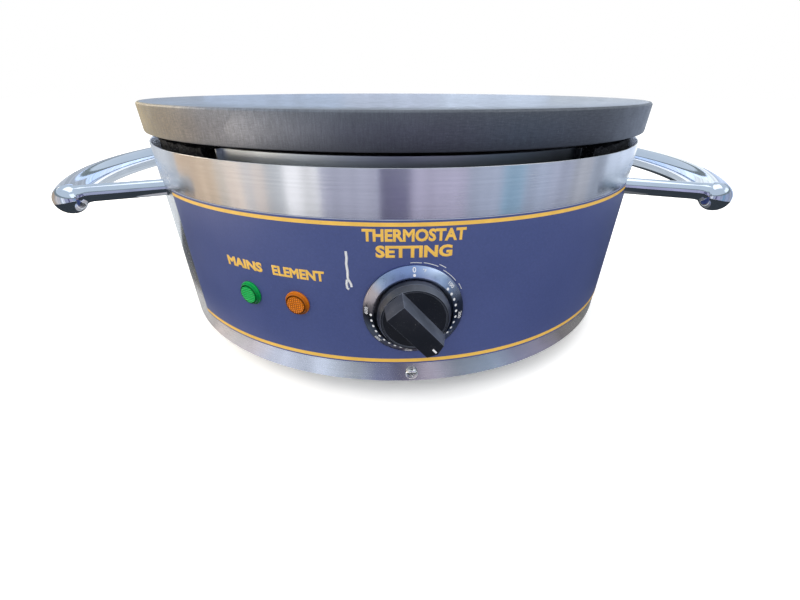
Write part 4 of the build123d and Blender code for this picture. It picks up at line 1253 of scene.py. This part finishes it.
@dataclass
class ThermostatKnob:
    """Skirted knob with a five-sided grip across it, and a white mark at the grip's nose.

    Attributes:
        pointer: Angle that the grip points to, clockwise from the top.
        radius: Radius of the skirt.
        face: Radius of the skirt's front face.
        back: Distance of the skirt's rear edge from the body's axis.
        shoulder: Distance at which the skirt starts to narrow.
        front: Distance of the skirt's front face.
        grip_front: Distance of the grip's front.
        half: Half the grip's width at its foot.
        reach: Where the grip's tail, the start of its nose and its tip lie, along it.
        front_reach: Length of the grip's front, from tail to tip.
        mark: Length, width and thickness of the white mark.
        mark_place: Its middle, along the grip and from the body's axis.
    """

    pointer: float = 139.0
    radius: float = 20.8 * MM
    face: float = 19.0 * MM
    back: float = 201.6 * MM
    shoulder: float = 206.6 * MM
    front: float = 210.5 * MM
    grip_front: float = 223.44 * MM
    half: float = 6.5 * MM
    reach: tuple[float, float, float] = (-18.4 * MM, 20.2 * MM, 23.0 * MM)
    front_reach: float = 34.9 * MM
    mark: tuple[float, float, float] = (3.4 * MM, 1.3 * MM, 0.5 * MM)
    mark_place: Ring = (14.8 * MM, 223.25 * MM)

    def build(self) -> Iterator[Piece]:
        """Make the knob and its mark."""
        place = facing(0, 0, middle("dial_bezel"))
        place = place @ Matrix.Rotation(radians(90 - self.pointer), 4, "Z")
        profile = rings(self.radius, self.back, (-0.4, 0), (0, 0.4))
        profile += [(self.radius, self.shoulder)]
        profile += rings(self.face, self.front, (0, 0), (-0.9, 0), (-1.3, -0.5))
        knob = turn("thermostat_knob_moulding", profile, 144)
        combine(knob, self.grip(), Combine.UNION)
        # The rounded edges take the lighter finish: wear and a painted edge highlight.
        for finish in (FINISHES["knob_black"], WORN_AND_HIGHLIT_EDGE):
            knob.data.materials.append(finish.material())
        settle(soften(knob, 0.42 * MM, 3, 24, finish=1), place)
        yield dress(knob, "knob_black", ["control_knob"], body=Body.KNOB)
        mark = block("pointer_mark", self.mark, (self.mark_place[0], 0, self.mark_place[1]))
        settle(soften(mark, 0.55 * MM, 4, 60), place)
        yield dress(mark, "pointer_white", ["knob_pointer_mark"], body=Body.KNOB)

    def grip(self) -> Piece:
        """Make the grip along +X: a block with a pointed nose, smaller at its front."""
        foot = self.front - 3 * MM
        tail, start, tip = self.reach
        size = (tip - tail, 2 * self.half, self.grip_front - foot)
        grip = block("grip", size, ((tip + tail) / 2, 0, (foot + self.grip_front) / 2))
        for side in (-1, 1):
            with editing(grip):
                bpy.ops.mesh.select_all(action="SELECT")
                normal = Vector((self.half, side * (tip - start), 0)).normalized()
                cut = {"plane_co": (tip, 0, 0), "plane_no": normal}
                bpy.ops.mesh.bisect(**cut, use_fill=True, clear_outer=True, clear_inner=False)
                mend_normals()
        with editing(grip):
            pick(grip, Element.VERT, lambda v: v.co.z > self.grip_front - 0.1 * MM)
            share = (self.front_reach / (tip - tail), 0.90, 1)
            bpy.ops.transform.resize(value=share, center_override=(tail, 0, self.grip_front))
            bpy.ops.transform.translate(value=(1.3 * MM, 0, 0))
        return grip


class Facets(Enum):
    """Patterns moulded into a lamp's lens."""

    PRISMS = "rows"
    PYRAMIDS = "grid"


@dataclass
class PilotLamp:
    """Round lamp lens with a rim and a field of facets.

    Attributes:
        colour: Colour in the names of its nodes and slot.
        azimuth: Where it stands on the front.
        facets: Pattern of its facets.
        flange: Radius of its flange.
        field: Radius of the field of facets.
        side: Side of the square that the field is cut from.
        cells: Facets along that side.
        top: Height of the field's grooves.
        foot: Height of the field's foot.
        ridge: How far the facets stand up.
    """

    colour: str
    azimuth: float
    facets: Facets
    flange: float = 7.8 * MM
    field: float = 5.5 * MM
    side: float = 12.0 * MM
    cells: int = 9
    top: float = 2.75 * MM
    foot: float = 1.9 * MM
    ridge: float = 0.36 * MM

    def build(self) -> Iterator[Piece]:
        """Make the lens."""
        node = f"{self.colour}_lamp_lens"
        profile = rings(self.flange, 0, (0, 0), (0, 0.7), (-0.4, 1.1)) + rings(
            0, 0, (6.85, 1.15), (6.6, 2.4), (6.35, 2.65), (6.0, 2.6), (5.7, 1.5)
        )
        lens = turn(f"{self.colour}_lens_moulding", profile, 72)
        smooth(combine(lens, self.facet_field(), Combine.UNION), 20)
        settle(lens, facing(self.azimuth, shell_side() + 0.5 * MM, middle(node)))
        yield dress(lens, f"lens_{self.colour}", [node])

    def facet_field(self) -> Piece:
        """Make the round field of prisms or pyramids."""
        size = (self.side, self.side, self.top - self.foot)
        field = block("facets", size, (0, 0, (self.top + self.foot) / 2))
        if self.facets is Facets.PYRAMIDS:
            with editing(field, Element.FACE):
                pick(field, Element.FACE, lambda f: f.normal.z > 0.9)
                bpy.ops.mesh.subdivide(number_cuts=self.cells - 1)
                pick(field, Element.FACE, lambda f: f.normal.z > 0.9)
                bpy.ops.mesh.poke(offset=self.ridge)
        else:
            half = self.side / self.cells / 2
            for row in range(1, 2 * self.cells):
                with editing(field):
                    bpy.ops.mesh.select_all(action="SELECT")
                    line = (0, -self.side / 2 + row * half, 0)
                    bpy.ops.mesh.bisect(plane_co=line, plane_no=(0, 1, 0), use_fill=False)
            with editing(field):
                pick(field, Element.VERT, lambda v: self.is_ridge(v.co, half))
                bpy.ops.transform.translate(value=(0, 0, self.ridge))
        profile = rings(self.field, self.foot, (0, -1)) + rings(self.field, self.top, (0, 2))
        return combine(field, turn("disc", profile, 72), Combine.INTERSECT)

    def is_ridge(self, point: Vector, half: float) -> bool:
        """Whether a point lies on the ridge of a prism, half a facet from its grooves."""
        return point.z > self.top - 0.01 * MM and round((point.y + self.side / 2) / half) % 2 == 1


@dataclass
class Handle:
    """Cast handle: a bar on an arc round the body, ball ends and two flared legs.

    Attributes:
        side: -1 for the left handle, 1 for the right one.
        arc: Radius of the bar's arc about the body's axis.
        half_angle: The bar runs this far each way, in degrees.
        bar: Radius of the bar.
        leg: Radius of a leg.
        leg_rise: How far the legs' axes lie above the bar's.
        leg_angle: Angle at which a leg meets the body, in degrees.
        turned: How far the handle sits round from the line square to the dial.
        ball_steps: Rings of a ball end.
        flare: Rings of a leg's flare, as distances from the ball's centre and growths.
    """

    side: int
    arc: float = 252 * MM
    half_angle: float = 32.5
    bar: float = 9.1 * MM
    leg: float = 5.5 * MM
    leg_rise: float = 2.9 * MM
    leg_angle: float = 35.5
    turned: float = -2.0
    ball_steps: int = 9
    flare: tuple[Ring, ...] = (
        (3.0, 1.1), (5.0, 1.1), (6.5, 1.05), (7.5, 0.85),
        (8.5, 0.5), (9.5, 0.25), (11.0, 0.08), (12.5, 0.0),
    )

    def build(self) -> Iterator[Piece]:
        """Make the handle."""
        name = "left_handle" if self.side < 0 else "right_handle"
        low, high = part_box(name)
        self.height = middle(name)
        handle = self.grip_bar(f"{name}_casting")
        for end in (-1, 1):
            combine(handle, self.leg_rod(end, shell_side()), Combine.UNION)
        combine(handle, core(shell_side() + 0.05 * MM, low.z, high.z, 288), Combine.DIFFERENCE)
        if self.side < 0:
            handle.scale.x = -1
            settle(handle)
            with editing(handle):
                mend_normals()
        settle(handle, Matrix.Rotation(radians(self.turned), 4, "Z"))
        yield dress(smooth(handle, 40), "handle_chrome", [name])

    def at_end(self, angle: float, radius: float, height: float) -> Vector:
        """Point at an angle from +X, round the body."""
        return Vector((radius * cos(angle), radius * sin(angle), height))

    def grip_bar(self, name: str) -> Piece:
        """Sweep the bar round its arc and close both ends as balls."""
        release()
        bpy.ops.mesh.primitive_circle_add(vertices=48, radius=self.bar)
        bar = named(name)
        upright = Matrix.Rotation(radians(90), 4, "X")
        place = Matrix.Translation((self.arc, 0, self.height)) @ upright
        settle(bar, Matrix.Rotation(radians(-self.half_angle), 4, "Z") @ place)
        sweep_round(bar, 64, -2 * self.half_angle, 0.001 * MM, self.height)
        for end in (-1, 1):
            self.ball_end(bar, end)
        with editing(bar):
            mend_normals()
        return bar

    def ball_end(self, bar: Piece, end: int) -> None:
        """Close one end of the bar with half a ball, ring by ring.

        Args:
            bar: The bar, still open at this end.
            end: -1 for the front end, 1 for the rear one.
        """
        a = radians(end * self.half_angle)
        centre = self.at_end(a, self.arc, self.height)
        away = Vector((-sin(a), cos(a), 0)) * end
        with editing(bar):
            pick(bar, Element.VERT, lambda v: abs((v.co - centre).dot(away)) < 0.01 * MM)
            reach, radius = 0.0, self.bar
            for step in range(1, self.ball_steps):
                turned = radians(90 * step / self.ball_steps)
                next_reach, next_radius = self.bar * sin(turned), self.bar * cos(turned)
                move = {"value": away * (next_reach - reach)}
                bpy.ops.mesh.extrude_region_move(TRANSFORM_OT_translate=move)
                share, pivot = (next_radius / radius,) * 3, centre + away * next_reach
                bpy.ops.transform.resize(value=share, center_override=pivot)
                reach, radius = next_reach, next_radius
            move = {"value": away * (self.bar - reach)}
            bpy.ops.mesh.extrude_region_move(TRANSFORM_OT_translate=move)
            bpy.ops.mesh.merge(type="CENTER")

    def leg_rod(self, end: int, shell: float) -> Piece:
        """Turn one leg, flared where it leaves its ball, and lay it from ball to shell.

        Args:
            end: -1 for the front leg, 1 for the rear one.
            shell: Radius of the shell.

        Returns:
            The leg.
        """
        height = self.height + self.leg_rise
        start = self.at_end(radians(end * self.half_angle), self.arc, height)
        seat = self.at_end(radians(end * self.leg_angle), shell, height)
        run = (seat - start).length
        profile = [(self.leg + growth * MM, reach * MM) for reach, growth in self.flare]
        rod = turn("leg", [*profile, (self.leg, run * 0.6), (self.leg, run + 4 * MM)], 48)
        for reach, growth in self.flare:
            with editing(rod):
                pick(rod, Element.VERT, lambda v: abs(v.co.z - reach * MM) < 0.01 * MM)
                bpy.ops.transform.translate(value=(0, -growth * MM, 0))
        laid = (seat - start).to_track_quat("Z", "Y").to_matrix().to_4x4()
        return settle(rod, Matrix.Translation(start) @ laid)


@dataclass
class SideScrews:
    """Pan-head screws with a cross recess that hold the base in the shell.

    Attributes:
        head: Radius of the head.
        tall: Height of the head.
        shank: Radius of the shank.
        recess: Length, width and depth of one arm of the cross.
        azimuths: Where they stand, with a turn of the recess for each.
    """

    head: float = 4.1 * MM
    tall: float = 2.6 * MM
    shank: float = 1.9 * MM
    recess: tuple[float, float, float] = (4.3 * MM, 0.95 * MM, 2 * MM)
    azimuths: tuple[tuple[float, float], ...] = ((0, 28), (90, 75), (180, 10), (270, 51))

    def build(self) -> Iterator[Piece]:
        """Make one screw and set its copies round the shell."""
        profile = rings(self.shank, 0, (0, -7), (0, 0)) + rings(self.head, 0, (0, 0), (0, 0.7))
        domed = ((0.95, 1.3 * MM), (0.80, 1.95 * MM), (0.55, 2.4 * MM), (0.25, self.tall))
        profile += [(self.head * share, height) for share, height in domed]
        screw = turn("side_screw", profile, 48)
        for angle in (0, 90):
            wing = block("wing", self.recess, (0, 0, self.tall - 0.4 * MM))
            with editing(wing):
                pick(wing, Element.VERT, lambda v: v.co.z < self.tall - 1 * MM)
                bpy.ops.transform.resize(value=(0.35, 0.6, 1), center_override=(0, 0, 0))
            settle(wing, Matrix.Rotation(radians(angle), 4, "Z"))
            combine(screw, wing, Combine.DIFFERENCE)
        soften(screw, 0.12 * MM, 2, 40)
        copies = []
        for azimuth, twist in self.azimuths:
            place = facing(azimuth, shell_side() + 0.05 * MM, middle("base_screws"))
            place = place @ Matrix.Rotation(radians(twist), 4, "Z")
            copies.append(settle(copy_of(screw, "side_screw_copy"), place))
        bpy.data.objects.remove(screw)
        yield dress(join("side_screws", copies), "steel_zinc", ["base_screws"], SCREW_HEAD)


@dataclass
class WoolLining:
    """Blanket of mineral wool behind the shell, its torn top edge seen in the gap.

    Attributes:
        span: Azimuths at which it begins and, round the back, ends.
        outer: Radius of its outer face.
        inner: Radius of its inner face.
        fine: Height of the finely meshed top.
        step: Size of the fine mesh.
        steps: Divisions round the body.
        torn: Size and depth of its lumps and of its tufts.
    """

    span: Ring = (33.0, 323.5)
    outer: float = 194.5 * MM
    inner: float = 179.0 * MM
    fine: float = 16 * MM
    step: float = 1.4 * MM
    steps: int = 620
    torn: tuple[tuple[str, float, float], ...] = (
        ("lumps", 9 * MM, 3.2 * MM), ("tufts", 2.4 * MM, 1.9 * MM),
    )

    def build(self) -> Iterator[Piece]:
        """Make the blanket."""
        low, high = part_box("side_insulation")
        outline = self.outline(low.z, high.z)
        release()
        bpy.ops.mesh.primitive_circle_add(vertices=len(outline), radius=0.1)
        wool = named("wool_lining")
        a = radians(self.span[0] - 90)
        for vertex, (radius, height) in zip(wool.data.vertices, outline):
            vertex.co = (radius * cos(a), radius * sin(a), height)
        with editing(wool):
            bpy.ops.mesh.select_all(action="SELECT")
            bpy.ops.mesh.edge_face_add()
        sweep_round(wool, self.steps, self.span[0] - self.span[1], 0.01 * MM)
        with editing(wool):
            mend_normals()
        for name, size, depth in self.torn:
            pattern = bpy.data.textures.new(name, "CLOUDS")
            pattern.noise_scale, pattern.noise_depth = size, 3
            settings = {"texture": pattern, "strength": depth, "mid_level": 1.0}
            modify(wool, "DISPLACE", texture_coords="LOCAL", **settings)
        activate(wool)
        bpy.ops.object.shade_smooth()
        yield dress(wool, "mineral_wool", ["side_insulation"])

    def outline(self, foot: float, top: float) -> list[Ring]:
        """Outline of the blanket's section, finely divided near its top."""
        count = int(self.fine / self.step)
        up = [(self.outer, top - self.fine + i * self.step) for i in range(count)]
        down = [(self.inner, height) for _, height in reversed(up)]
        thick, half = self.outer - self.inner, (foot + top) / 2
        cells = int(thick / self.step)
        across = [(self.outer - thick * (i + 0.5) / cells, top) for i in range(cells)]
        start = [(self.inner, foot), (self.outer, foot), (self.outer, half)]
        return [*start, *up, *across, *down, (self.inner, half)]


@dataclass
class CableGland:
    """Hexagonal gland body and dome nut at the rear.

    Attributes:
        body_flat: Half the width of the body's hexagon across its flats.
        nut_flat: The same for the nut.
        thread: Radius of the body's thread.
        passage: Radius of the way through the body.
        bore: Radius of the cable's way through the nut.
    """

    body_flat: float = 13 * MM
    nut_flat: float = 12 * MM
    thread: float = 10 * MM
    passage: float = 5.6 * MM
    bore: float = 5.2 * MM

    def build(self) -> Iterator[Piece]:
        """Make the body's flange and the nut."""
        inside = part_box("cable_gland_body")[0].y
        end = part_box("cable_gland_dome")[1].y
        seat = shell_side() + 0.05 * MM
        place = facing(180, 0, middle("cable_gland_body"))
        flange = self.hexagon("gland_flange", self.body_flat, rings(0, seat, (0, 0), (0, 5.9)))
        thread = turn("thread", [(self.thread, inside), (self.thread, seat + 1 * MM)], 64)
        combine(flange, thread, Combine.UNION)
        drill = turn("drill", [(self.passage, inside - 5 * MM), (self.passage, end)], 48)
        combine(flange, drill, Combine.DIFFERENCE)
        settle(soften(flange, 0.5 * MM, 3, 35), place)
        yield dress(flange, "moulding_black", ["cable_gland_body"])
        start = seat + 6.0 * MM
        nut = self.hexagon("gland_dome_nut", self.nut_flat, rings(0, start, (0, 0), (0, 10)))
        profile = rings(0, start, (12.4, -1), (13.6, 1), (13.6, 8.4), (11.9, 11))
        combine(nut, turn("round_off", profile, 72), Combine.INTERSECT)
        profile = rings(0, start, (11.5, 8), (11.4, 11), (10.6, 14), (9.2, 16.6))
        profile += rings(0, end, (7.6, -0.5), (7.0, 0))
        combine(nut, turn("dome", profile, 72), Combine.UNION)
        profile = rings(self.bore, start, (0, -3)) + rings(self.bore, end, (0, -1), (1.3, 0.5))
        combine(nut, turn("drill", profile, 48), Combine.DIFFERENCE)
        settle(soften(nut, 0.35 * MM, 3, 30), place)
        yield dress(nut, "moulding_black", ["cable_gland_dome"])

    @staticmethod
    def hexagon(name: str, flat: float, ends: Sequence[Ring]) -> Piece:
        """Make a hexagonal prism.

        Args:
            name: Name of the piece.
            flat: Half its width across the flats.
            ends: Rings of which only the heights count.

        Returns:
            The prism, a flat of which looks along +X.
        """
        corner = flat / cos(radians(30))
        prism = turn(name, [(corner, height) for _, height in ends], 6)
        return settle(prism, Matrix.Rotation(radians(30), 4, "Z"))


@dataclass
class RubberFeet:
    """Tapered rubber feet with a ring groove and a sunk hole for a screw.

    Attributes:
        top: Radius against the base.
        bottom: Radius on the worktop.
        recess: Radius of the hole for the screw's head.
        floor: Height of the hole's floor.
        bore: Radius of the screw's hole.
    """

    top: float = 17 * MM
    bottom: float = 14 * MM
    recess: float = 7 * MM
    floor: float = 9 * MM
    bore: float = 2.6 * MM

    def build(self) -> Iterator[Piece]:
        """Make the four feet."""
        for place in ("front_left", "front_right", "rear_left", "rear_right"):
            low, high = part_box(f"foot_{place}")
            profile = [(self.recess, self.floor), *rings(self.recess, 0, (0, 0.5), (0.5, 0))]
            profile += rings(self.bottom, 0, (-1.5, 0), (-0.4, 0.5), (0, 1.6), (2.0, 12))
            profile += rings(self.bottom, 0, (1.5, 12.6), (1.6, 13.4), (2.4, 14))
            profile += rings(self.top, high.z, (0, -3), (0, -0.5), (-0.5, 0))
            profile += [(self.bore, high.z), (self.bore, self.floor)]
            foot = smooth(turn(f"rubber_foot_{place}", profile, 72, hollow=True), 50)
            settle(foot, Matrix.Translation(((low.x + high.x) / 2, (low.y + high.y) / 2, 0)))
            yield dress(foot, "foot_rubber", [f"foot_{place}"])


# ---------------------------------------------------------------- studio


@dataclass(frozen=True)
class Drape:
    """Hanging cloth or panel that only shows in reflections, as a studio's flags do.

    Attributes:
        name: Name of the drape.
        start: Azimuth of its first edge.
        end: Azimuth of its second edge.
        tone: Its brightness.
        low: Height of its lower edge.
        high: Height of its upper edge.
        distance: Distance from the object's axis.
    """

    name: str
    start: float
    end: float
    tone: Colour
    low: float = 0.04
    high: float = 0.24
    distance: float = 0.5

    def build(self) -> None:
        """Hang the drape round the object."""
        ends, rise = (self.start, self.end), (self.low, self.high)
        only_reflected(band(self.name, self.distance, 2 * MM, ends, rise), self.tone)


def only_reflected(piece: Piece, tone: Colour | Stops) -> None:
    """Give a stage piece a softly clouded tone, and hide it from all but glossy rays.

    Args:
        piece: The piece.
        tone: Its tone, or the azimuths and tones of a row of stops.
    """
    graph = Graph.fresh(f"{piece.name}_tone")
    if isinstance(tone[0], float):
        colour = (*tone, 1.0)
    else:
        apart = graph.apart()
        share = graph.round_share(apart["X"], graph.times(apart["Y"], -1.0))
        colour = graph.ramp(share, [(azimuth / 360 + 0.5, stop) for azimuth, stop in tone])
    folds = graph.span(graph.noise(1.0, 3, graph.stretch(34, 34, 0.8)), 0.3, 0.7, 0.76, 1.22)
    graph.surface(graph.node("Emission", Color=colour, Strength=folds))
    piece.data.materials.append(graph.material)
    for rays in ("camera", "diffuse", "transmission", "volume_scatter", "shadow"):
        setattr(piece, f"visible_{rays}", False)


DRAPES = (
    Drape("left_rear_panel", -140, -90, (0.58, 0.63, 0.70)),
    Drape("left_warm_panel", -90, -67, (0.72, 0.56, 0.42)),
    Drape("left_grey_strip", -67, -62, (0.64, 0.60, 0.55)),
    Drape("left_cream_panel", -62, -55, (1.02, 0.88, 0.80)),
    Drape("left_pale_strip", -55, -51, (0.70, 0.71, 0.76)),
    Drape("left_rose_panel", -51, -46, (0.88, 0.79, 0.76)),
    Drape("left_blue_strip", -46, -39, (0.66, 0.70, 0.76)),
    Drape("left_white_panel", -39, -27, (1.17, 1.19, 1.26)),
    Drape("front_grey_cloth", -27, -8, (0.50, 0.52, 0.68)),
    Drape("front_dark_cloth", -8, 2, (0.20, 0.195, 0.34)),
    Drape("front_lilac_cloth", 2, 20, (0.58, 0.56, 0.78)),
    Drape("right_slate_cloth", 20, 32, (0.50, 0.57, 0.77)),
    Drape("right_teal_cloth", 32, 40, (0.34, 0.54, 0.76)),
    Drape("right_blue_cloth", 40, 50, (0.46, 0.54, 0.74)),
    Drape("right_pale_cloth", 50, 60, (0.52, 0.58, 0.78)),
    Drape("right_dark_strip", 60, 63, (0.42, 0.46, 0.56)),
    Drape("right_pale_strip", 63, 70, (0.60, 0.64, 0.75)),
    Drape("right_dark_cloth", 70, 79, (0.38, 0.44, 0.56)),
    Drape("right_rear_panel", 79, 109, (0.74, 0.86, 1.08)),
    Drape("right_white_panel", 109, 142, (1.25, 1.32, 1.35)),
    Drape("distant_trees", -100, 100, (0.34, 0.40, 0.42), 0.24, 0.31),
    Drape("rear_tree_line", 130, 250, (0.25, 0.30, 0.31), 0.56, 0.66, 1.5),
    Drape("rear_white_panel", 110, 170, (1.45, 1.68, 2.10), low=0.0, high=0.56, distance=1.5),
    Drape("rear_pale_panel", 170, 186, (1.20, 1.36, 1.75), low=0.0, high=0.56, distance=1.5),
    Drape("rear_blue_panel", 186, 250, (0.96, 1.18, 1.60), low=0.0, high=0.56, distance=1.5),
)

AIM_HEIGHT = 0.08  # where the lamps point

# Azimuths and tones of the cloth that lies round the object.
NEAR_TONES = (
    (-180, (0.60, 0.62, 0.64)),
    (-64, (0.62, 0.62, 0.62)),
    (-55, (0.72, 0.64, 0.62)),
    (-46, (0.68, 0.66, 0.68)),
    (-40, (0.98, 0.92, 1.00)),
    (-34, (0.72, 0.78, 0.96)),
    (-20, (0.80, 0.90, 1.10)),
    (-12, (0.50, 0.56, 0.66)),
    (-7, (0.29, 0.32, 0.50)),
    (-2, (0.16, 0.16, 0.26)),
    (4, (0.54, 0.50, 0.62)),
    (12, (0.28, 0.33, 0.42)),
    (20, (0.38, 0.48, 0.64)),
    (27, (0.25, 0.27, 0.40)),
    (36, (0.35, 0.34, 0.46)),
    (44, (0.23, 0.22, 0.23)),
    (60, (0.21, 0.21, 0.20)),
    (180, (0.40, 0.42, 0.44)),
)


@dataclass
class Studio:
    """Pale floor, soft lamps, reflection cards and the camera.

    Attributes:
        lens: Focal length for a 36 mm frame.
        eye: Place of the camera.
        pitch: How far it looks down, in degrees.
        heading: How far it is turned from the front, in degrees.
        roll: Its roll, in degrees.
    """

    lens: float = 16.618
    eye: tuple[float, float, float] = (-18.24 * MM, -379.35 * MM, 185.59 * MM)
    pitch: float = 30.102
    heading: float = -3.34
    roll: float = -0.115

    def build(self) -> None:
        """Set up the whole studio."""
        self.camera()
        self.floor()
        self.sky()
        self.lamp("key_softbox", (-0.9, -1.5, 1.9), 1.6, 16).visible_glossy = False
        self.lamp("fill_softbox", (1.6, -0.9, 1.3), 1.4, 5)
        self.lamp("top_softbox", (0.1, 0.5, 2.4), 2.0, 14)
        self.lamp("warm_side_softbox", (-1.36, 0.31, 0.50), 0.7, 8, (1.0, 0.85, 0.65))
        sheen = self.lamp("low_side_sheen", (-1.27, -0.27, 0.085), 0.9, 4.8, (1.0, 0.90, 0.76))
        sheen.visible_diffuse = False
        sheen.data.shape, sheen.data.size_y = "RECTANGLE", 0.16
        self.ground_cloths()
        bpy.context.scene.view_settings.view_transform = "Standard"

    def camera(self) -> None:
        """Place the camera."""
        data = bpy.data.cameras.new("camera")
        data.lens, data.clip_start = self.lens, 0.01
        camera = bpy.data.objects.new("camera", data)
        camera.location = self.eye
        turned = (90 - self.pitch, self.roll, self.heading)
        camera.rotation_euler = [radians(angle) for angle in turned]
        bpy.context.scene.collection.objects.link(camera)
        bpy.context.scene.camera = camera

    def floor(self) -> None:
        """Lay the floor, which shows white where no shadow falls on it."""
        release()
        bpy.ops.mesh.primitive_plane_add(size=12, location=(0, 0, -0.3 * MM))
        floor = settle(named("floor"))
        graph = Graph.fresh("floor_paper")
        grain = graph.span(graph.noise(400, 3), 0.3, 0.7, 0.97, 1.0)
        pale = graph.node("Mix")
        for index, value in ((0, self.seen(graph)), (2, 0.80), (3, 1.5)):
            graph.feed(pale.inputs[index], value)
        tone = graph.times(pale.outputs[0], grain)
        colour = graph.node("CombineXYZ", X=tone, Y=tone, Z=tone).outputs[0]
        graph.surface(graph.node("BsdfDiffuse", Color=colour))
        floor.data.materials.append(graph.material)

    @staticmethod
    def ground_cloths() -> None:
        """Lay cloths round the object, which only show in reflections."""
        cloths = (
            ("pale_ring_cloth", (0.200, 0.238), (-180, 180), NEAR_TONES),
            ("dark_front_cloth", (0.238, 0.66), (-104, 122), (0.060, 0.070, 0.080)),
            ("grey_rear_cloth", (0.238, 0.66), (122, 256), (0.75, 0.80, 0.84)),
        )
        for name, (inner, outer), (start, end), tone in cloths:
            cloth = band(name, 1.0, 0.5 * MM, (start, end), (inner, outer))
            for vertex in cloth.data.vertices:
                x, y, radius = vertex.co
                vertex.co = (x * radius, y * radius, 1.001 - Vector((x, y)).length)
            only_reflected(cloth, tone)

    @staticmethod
    def seen(graph: Graph) -> Socket:
        """1 for camera, glossy and transmission rays, 0 for the rest."""
        path = graph.node("LightPath").outputs
        either = graph.calc("MAXIMUM", path["Is Camera Ray"], path["Is Glossy Ray"])
        return graph.calc("MAXIMUM", either, path["Is Transmission Ray"])

    def sky(self) -> None:
        """Make the surroundings: white where they are seen, soft grey as light."""
        world = bpy.data.worlds.new("surroundings")
        world.use_nodes = True
        bpy.context.scene.world = world
        graph = Graph(world.node_tree)
        path = graph.node("LightPath").outputs
        either = graph.calc("MAXIMUM", path["Is Camera Ray"], path["Is Glossy Ray"])
        background = graph.tree.nodes["Background"].inputs
        graph.feed(background["Strength"], graph.span(either, 0, 1, 0.75, 1.0))
        tone = graph.tint(path["Is Glossy Ray"], (1.0, 1.0, 1.0), (0.80, 0.90, 1.0))
        graph.feed(background["Color"], tone)

    @staticmethod
    def lamp(
        name: str,
        place: Sequence[float],
        size: float,
        power: float,
        colour: Colour = (1.0, 1.0, 1.0),
    ) -> Piece:
        """Hang a square softbox that points at the object.

        Args:
            name: Name of the lamp.
            place: Where it hangs.
            size: Length of its side.
            power: Its power in watts.
            colour: Colour of its light.

        Returns:
            The lamp.
        """
        data = bpy.data.lights.new(name, "AREA")
        data.color, data.energy, data.size = colour, power, size
        lamp = bpy.data.objects.new(name, data)
        lamp.location = place
        aim = Vector((0, 0, AIM_HEIGHT)) - Vector(place)
        lamp.rotation_euler = aim.to_track_quat("-Z", "Y").to_euler()
        bpy.context.scene.collection.objects.link(lamp)
        return lamp


def dress_nodes(frame: dict) -> None:
    """Give every node that is carried over the finish of its slot."""
    for entry in frame["record"]["subparts"]:
        node = frame["nodes"][entry["node"]]
        node.data.materials.clear()
        node.data.materials.append(FINISHES[entry["material_slot"]].material())


def main() -> None:
    """Build the studio, dress the nodes and model every new piece."""
    logging.basicConfig(level=logging.INFO, format="%(message)s")
    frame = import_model()
    Studio().build()
    for drape in DRAPES:
        drape.build()
    dress_nodes(frame)
    assemblies = (
        GriddlePlate(),
        BodyShell(),
        ControlFilm(),
        DialBezel(),
        ThermostatKnob(),
        PilotLamp("green", GREEN_AT, Facets.PRISMS),
        PilotLamp("amber", AMBER_AT, Facets.PYRAMIDS),
        Handle(-1),
        Handle(1),
        SideScrews(),
        WoolLining(),
        CableGland(),
        RubberFeet(),
    )
    for assembly in assemblies:
        for piece in assembly.build():
            LOG.info("%s: %d faces", piece.name, len(piece.data.polygons))
    release()


if __name__ == "__main__":
    main()
